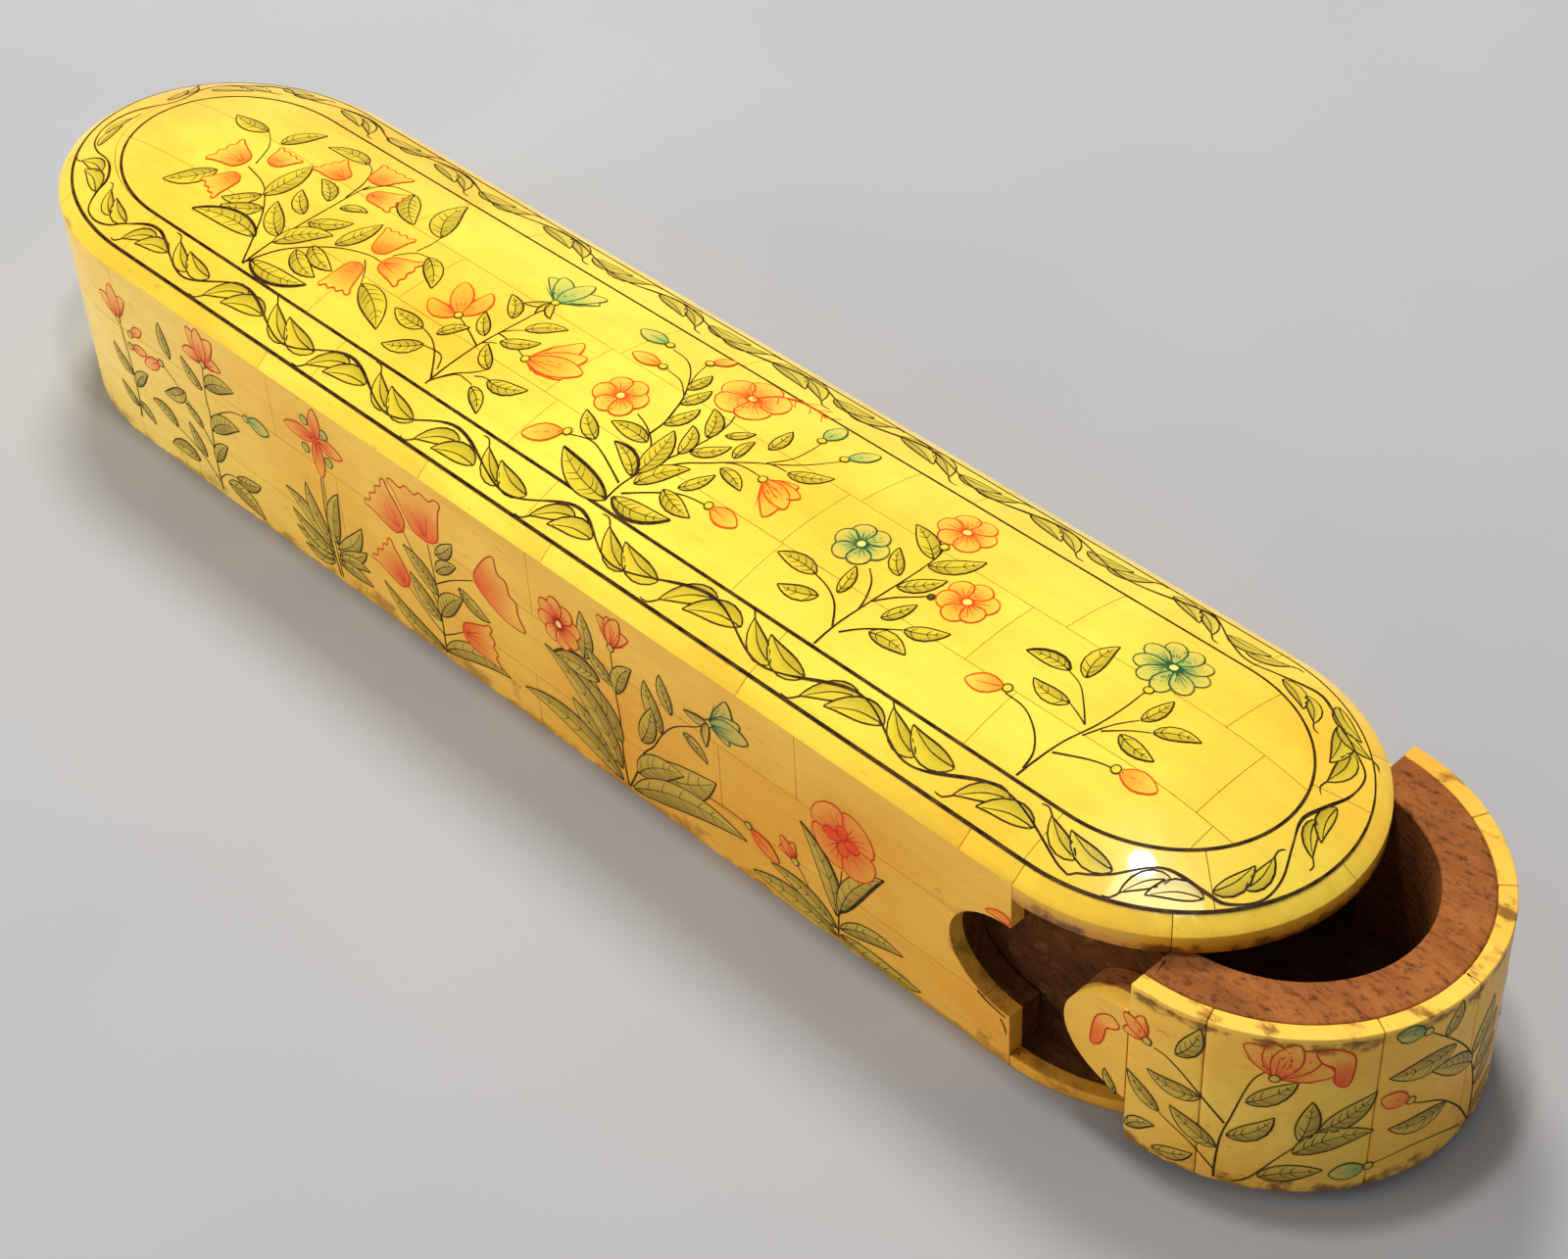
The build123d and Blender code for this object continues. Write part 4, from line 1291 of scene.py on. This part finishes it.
class PENBOX_OT_side_flowers(bpy.types.Operator):
    """Paint the flowers of both sides of the case"""

    bl_idname = "pen_box.side_flowers"
    bl_label = "Side flowers"

    def execute(self, context):
        wash = case_wash(context.scene.pen_box_finish)
        plants = (lily_sprig, star_sprig, tulip_sprig, pair_of_stems, carnation_sprig)
        for name, chart, more in (
            ("near_side_painting", side_chart(-1), (back_bud_sprig, mouth_scraps)),
            ("far_side_painting", mirrored(side_chart(1), -10), ()),
        ):
            brush = side_brush(above_edge(chart, 0), context.scene, seed=7)
            for plant in (*more, *plants):
                plant(brush)
            brush.finish_piece(name, "case", "bone", wash)
        return {"FINISHED"}


class PENBOX_OT_back_flowers(bpy.types.Operator):
    """Paint a sprig on the middle of the rounded back end"""

    bl_idname = "pen_box.back_flowers"
    bl_label = "Back flowers"

    def execute(self, context):
        curve, round_length = end_chart(BACK_X, BACK_REACH, -1)
        shift = round_length / 2 - LILY_PLACE
        chart = above_edge(lambda u, v, lift: curve(u + shift, v, lift), 0)
        brush = side_brush(chart, context.scene, seed=9)
        lily_sprig(brush)
        wash = case_wash(context.scene.pen_box_finish)
        brush.finish_piece("back_end_painting", "case", "bone", wash)
        return {"FINISHED"}


class PENBOX_OT_drawer_flowers(bpy.types.Operator):
    """Paint the flowers of the drawer front and its tabs"""

    bl_idname = "pen_box.drawer_flowers"
    bl_label = "Drawer flowers"

    def execute(self, context):
        wash = drawer_wash(context.scene.pen_box_finish)
        curve, round_length = end_chart(FRONT_LOW.x, FRONT_HIGH.x - FRONT_LOW.x, 1)
        chart = above_edge(curve, FRONT_LOW.z)
        far_chart = mirrored(chart, round_length / 2)
        brush = side_brush(chart, context.scene, seed=13)
        front_spray(brush)
        front_twigs(brush)
        brush.chart = far_chart
        front_spray(brush)
        brush.finish_piece("drawer_front_painting", "drawer", "bone", wash)
        for name, tab_chart in (("near_tab_painting", chart), ("far_tab_painting", far_chart)):
            brush = side_brush(tab_chart, context.scene, seed=17)
            tab_touch(brush)
            brush.finish_piece(name, "drawer", "bone", wash)
        return {"FINISHED"}


# Links a lamp, camera or mesh to the scene
def place_in_scene(name, data):
    item = bpy.data.objects.new(name, data)
    bpy.context.scene.collection.objects.link(item)
    return item


# Soft round lamp that faces a place on the box
def area_lamp(name, place, target, size, watts, tint=(1, 1, 1)):
    light = bpy.data.lights.new(name, "AREA")
    light.shape = "DISK"
    light.size = size
    light.energy = watts
    light.color = tint
    lamp = place_in_scene(name, light)
    lamp.location = place
    lamp.rotation_euler = (Vector(target) - Vector(place)).to_track_quat("-Z", "Y").to_euler()
    return lamp


class PENBOX_OT_stage(bpy.types.Operator):
    """Set up the floor, the soft lamps and the camera"""

    bl_idname = "pen_box.stage"
    bl_label = "Stage"

    def execute(self, context):
        stage = context.scene.pen_box_stage
        self.floor(stage)
        self.lamps(stage)
        self.world(context, stage)
        self.camera(context, stage)
        context.scene.view_settings.view_transform = "Standard"
        return {"FINISHED"}

    def floor(self, stage):
        nodes = Nodes("pale_floor")
        tone = nodes.ramp(nodes.noise(9, 3, 0.5), (0.3, 0.93), (0.7, 1.0))
        nodes.feed(nodes.shader, "Base Color", nodes.mix(1.0, stage.floor, tone, "MULTIPLY"))
        nodes.feed(nodes.shader, "Roughness", 0.9)
        mesh = bpy.data.meshes.new("floor")
        half = 2.0
        plan = [(-half, -half, 0), (half, -half, 0), (half, half, 0), (-half, half, 0)]
        mesh.from_pydata(plan, [], [(0, 1, 2, 3)])
        mesh.materials.append(nodes.material)
        floor = place_in_scene("floor", mesh)
        floor.location.z = -0.02 * MM

    # Only the window lamp shows as a bright glint in the lacquer, and the panel softly along edges
    def lamps(self, stage):
        middle = (0, 0, 0.02)
        side = (-0.02, -0.02, 0.02)
        mouth = (0.09, -0.0155, 0.033)
        key = area_lamp("key_lamp", (-0.38, 0.34, 0.75), middle, 0.28, stage.key_power, (1, 0.98, 0.94))
        low = area_lamp("side_lamp", (-0.42, -0.62, 0.2), side, 0.4, stage.side_power, (1, 0.97, 0.9))
        key.visible_glossy = False
        low.visible_glossy = False
        panel = area_lamp("panel", (0.12, -0.12, 0.9), (0.02, 0, 0.02), 0.36, stage.panel_power)
        panel.visible_diffuse = False
        area_lamp("window_lamp", (0.033, -0.008, 0.48), mouth, 0.05, stage.glint_power)

    def world(self, context, stage):
        world = bpy.data.worlds.new("even_light")
        context.scene.world = world
        world.use_nodes = True
        background = world.node_tree.nodes["Background"]
        background.inputs["Color"].default_value = (1, 1, 1, 1)
        background.inputs["Strength"].default_value = stage.world

    def camera(self, context, stage):
        az, el = stage.azimuth, stage.elevation
        target = Vector((19.85, -2.22, 16.32)) * MM
        back = Vector((sin(az) * cos(el), -cos(az) * cos(el), sin(el)))
        right = (-back).cross(Vector((0, 0, 1))).normalized()
        up = right.cross(-back)
        turned_right = right * cos(stage.roll) + up * sin(stage.roll)
        turned_up = up * cos(stage.roll) - right * sin(stage.roll)
        data = bpy.data.cameras.new("camera")
        data.lens = stage.lens
        data.sensor_width = 36
        data.clip_start = 0.01
        camera = place_in_scene("camera", data)
        turned = Matrix((turned_right, turned_up, back)).transposed().to_4x4()
        camera.matrix_world = Matrix.Translation(target + back * stage.distance) @ turned
        context.scene.camera = camera


GROUPS = {
    "pen_box_finish": PenBoxFinish,
    "pen_box_painting": PenBoxPainting,
    "pen_box_stage": PenBoxStage,
}
OPERATORS = (
    PENBOX_OT_stage,
    PENBOX_OT_lid_finish,
    PENBOX_OT_case_finish,
    PENBOX_OT_drawer_finish,
    PENBOX_OT_wood_finish,
    PENBOX_OT_lid_border,
    PENBOX_OT_lid_flowers,
    PENBOX_OT_side_flowers,
    PENBOX_OT_back_flowers,
    PENBOX_OT_drawer_flowers,
)


class PENBOX_PT_sidebar(bpy.types.Panel):
    """Steps and settings of the pen box"""

    bl_idname = "PENBOX_PT_sidebar"
    bl_label = "Pen box"
    bl_space_type = "VIEW_3D"
    bl_region_type = "UI"
    bl_category = "Pen box"

    def draw(self, context):
        for operator in OPERATORS:
            self.layout.operator(operator.bl_idname)
        for name, kind in GROUPS.items():
            box = self.layout.box()
            for key in kind.__annotations__:
                box.prop(getattr(context.scene, name), key)


CLASSES = (*GROUPS.values(), *OPERATORS, PENBOX_PT_sidebar)


def register():
    for kind in CLASSES:
        bpy.utils.register_class(kind)
    for name, kind in GROUPS.items():
        setattr(bpy.types.Scene, name, PointerProperty(type=kind))


def unregister():
    for name in GROUPS:
        delattr(bpy.types.Scene, name)
    for kind in reversed(CLASSES):
        bpy.utils.unregister_class(kind)


def main():
    register()
    for operator in OPERATORS:
        group, name = operator.bl_idname.split(".")
        getattr(getattr(bpy.ops, group), name)()


if __name__ == "__main__":
    main()
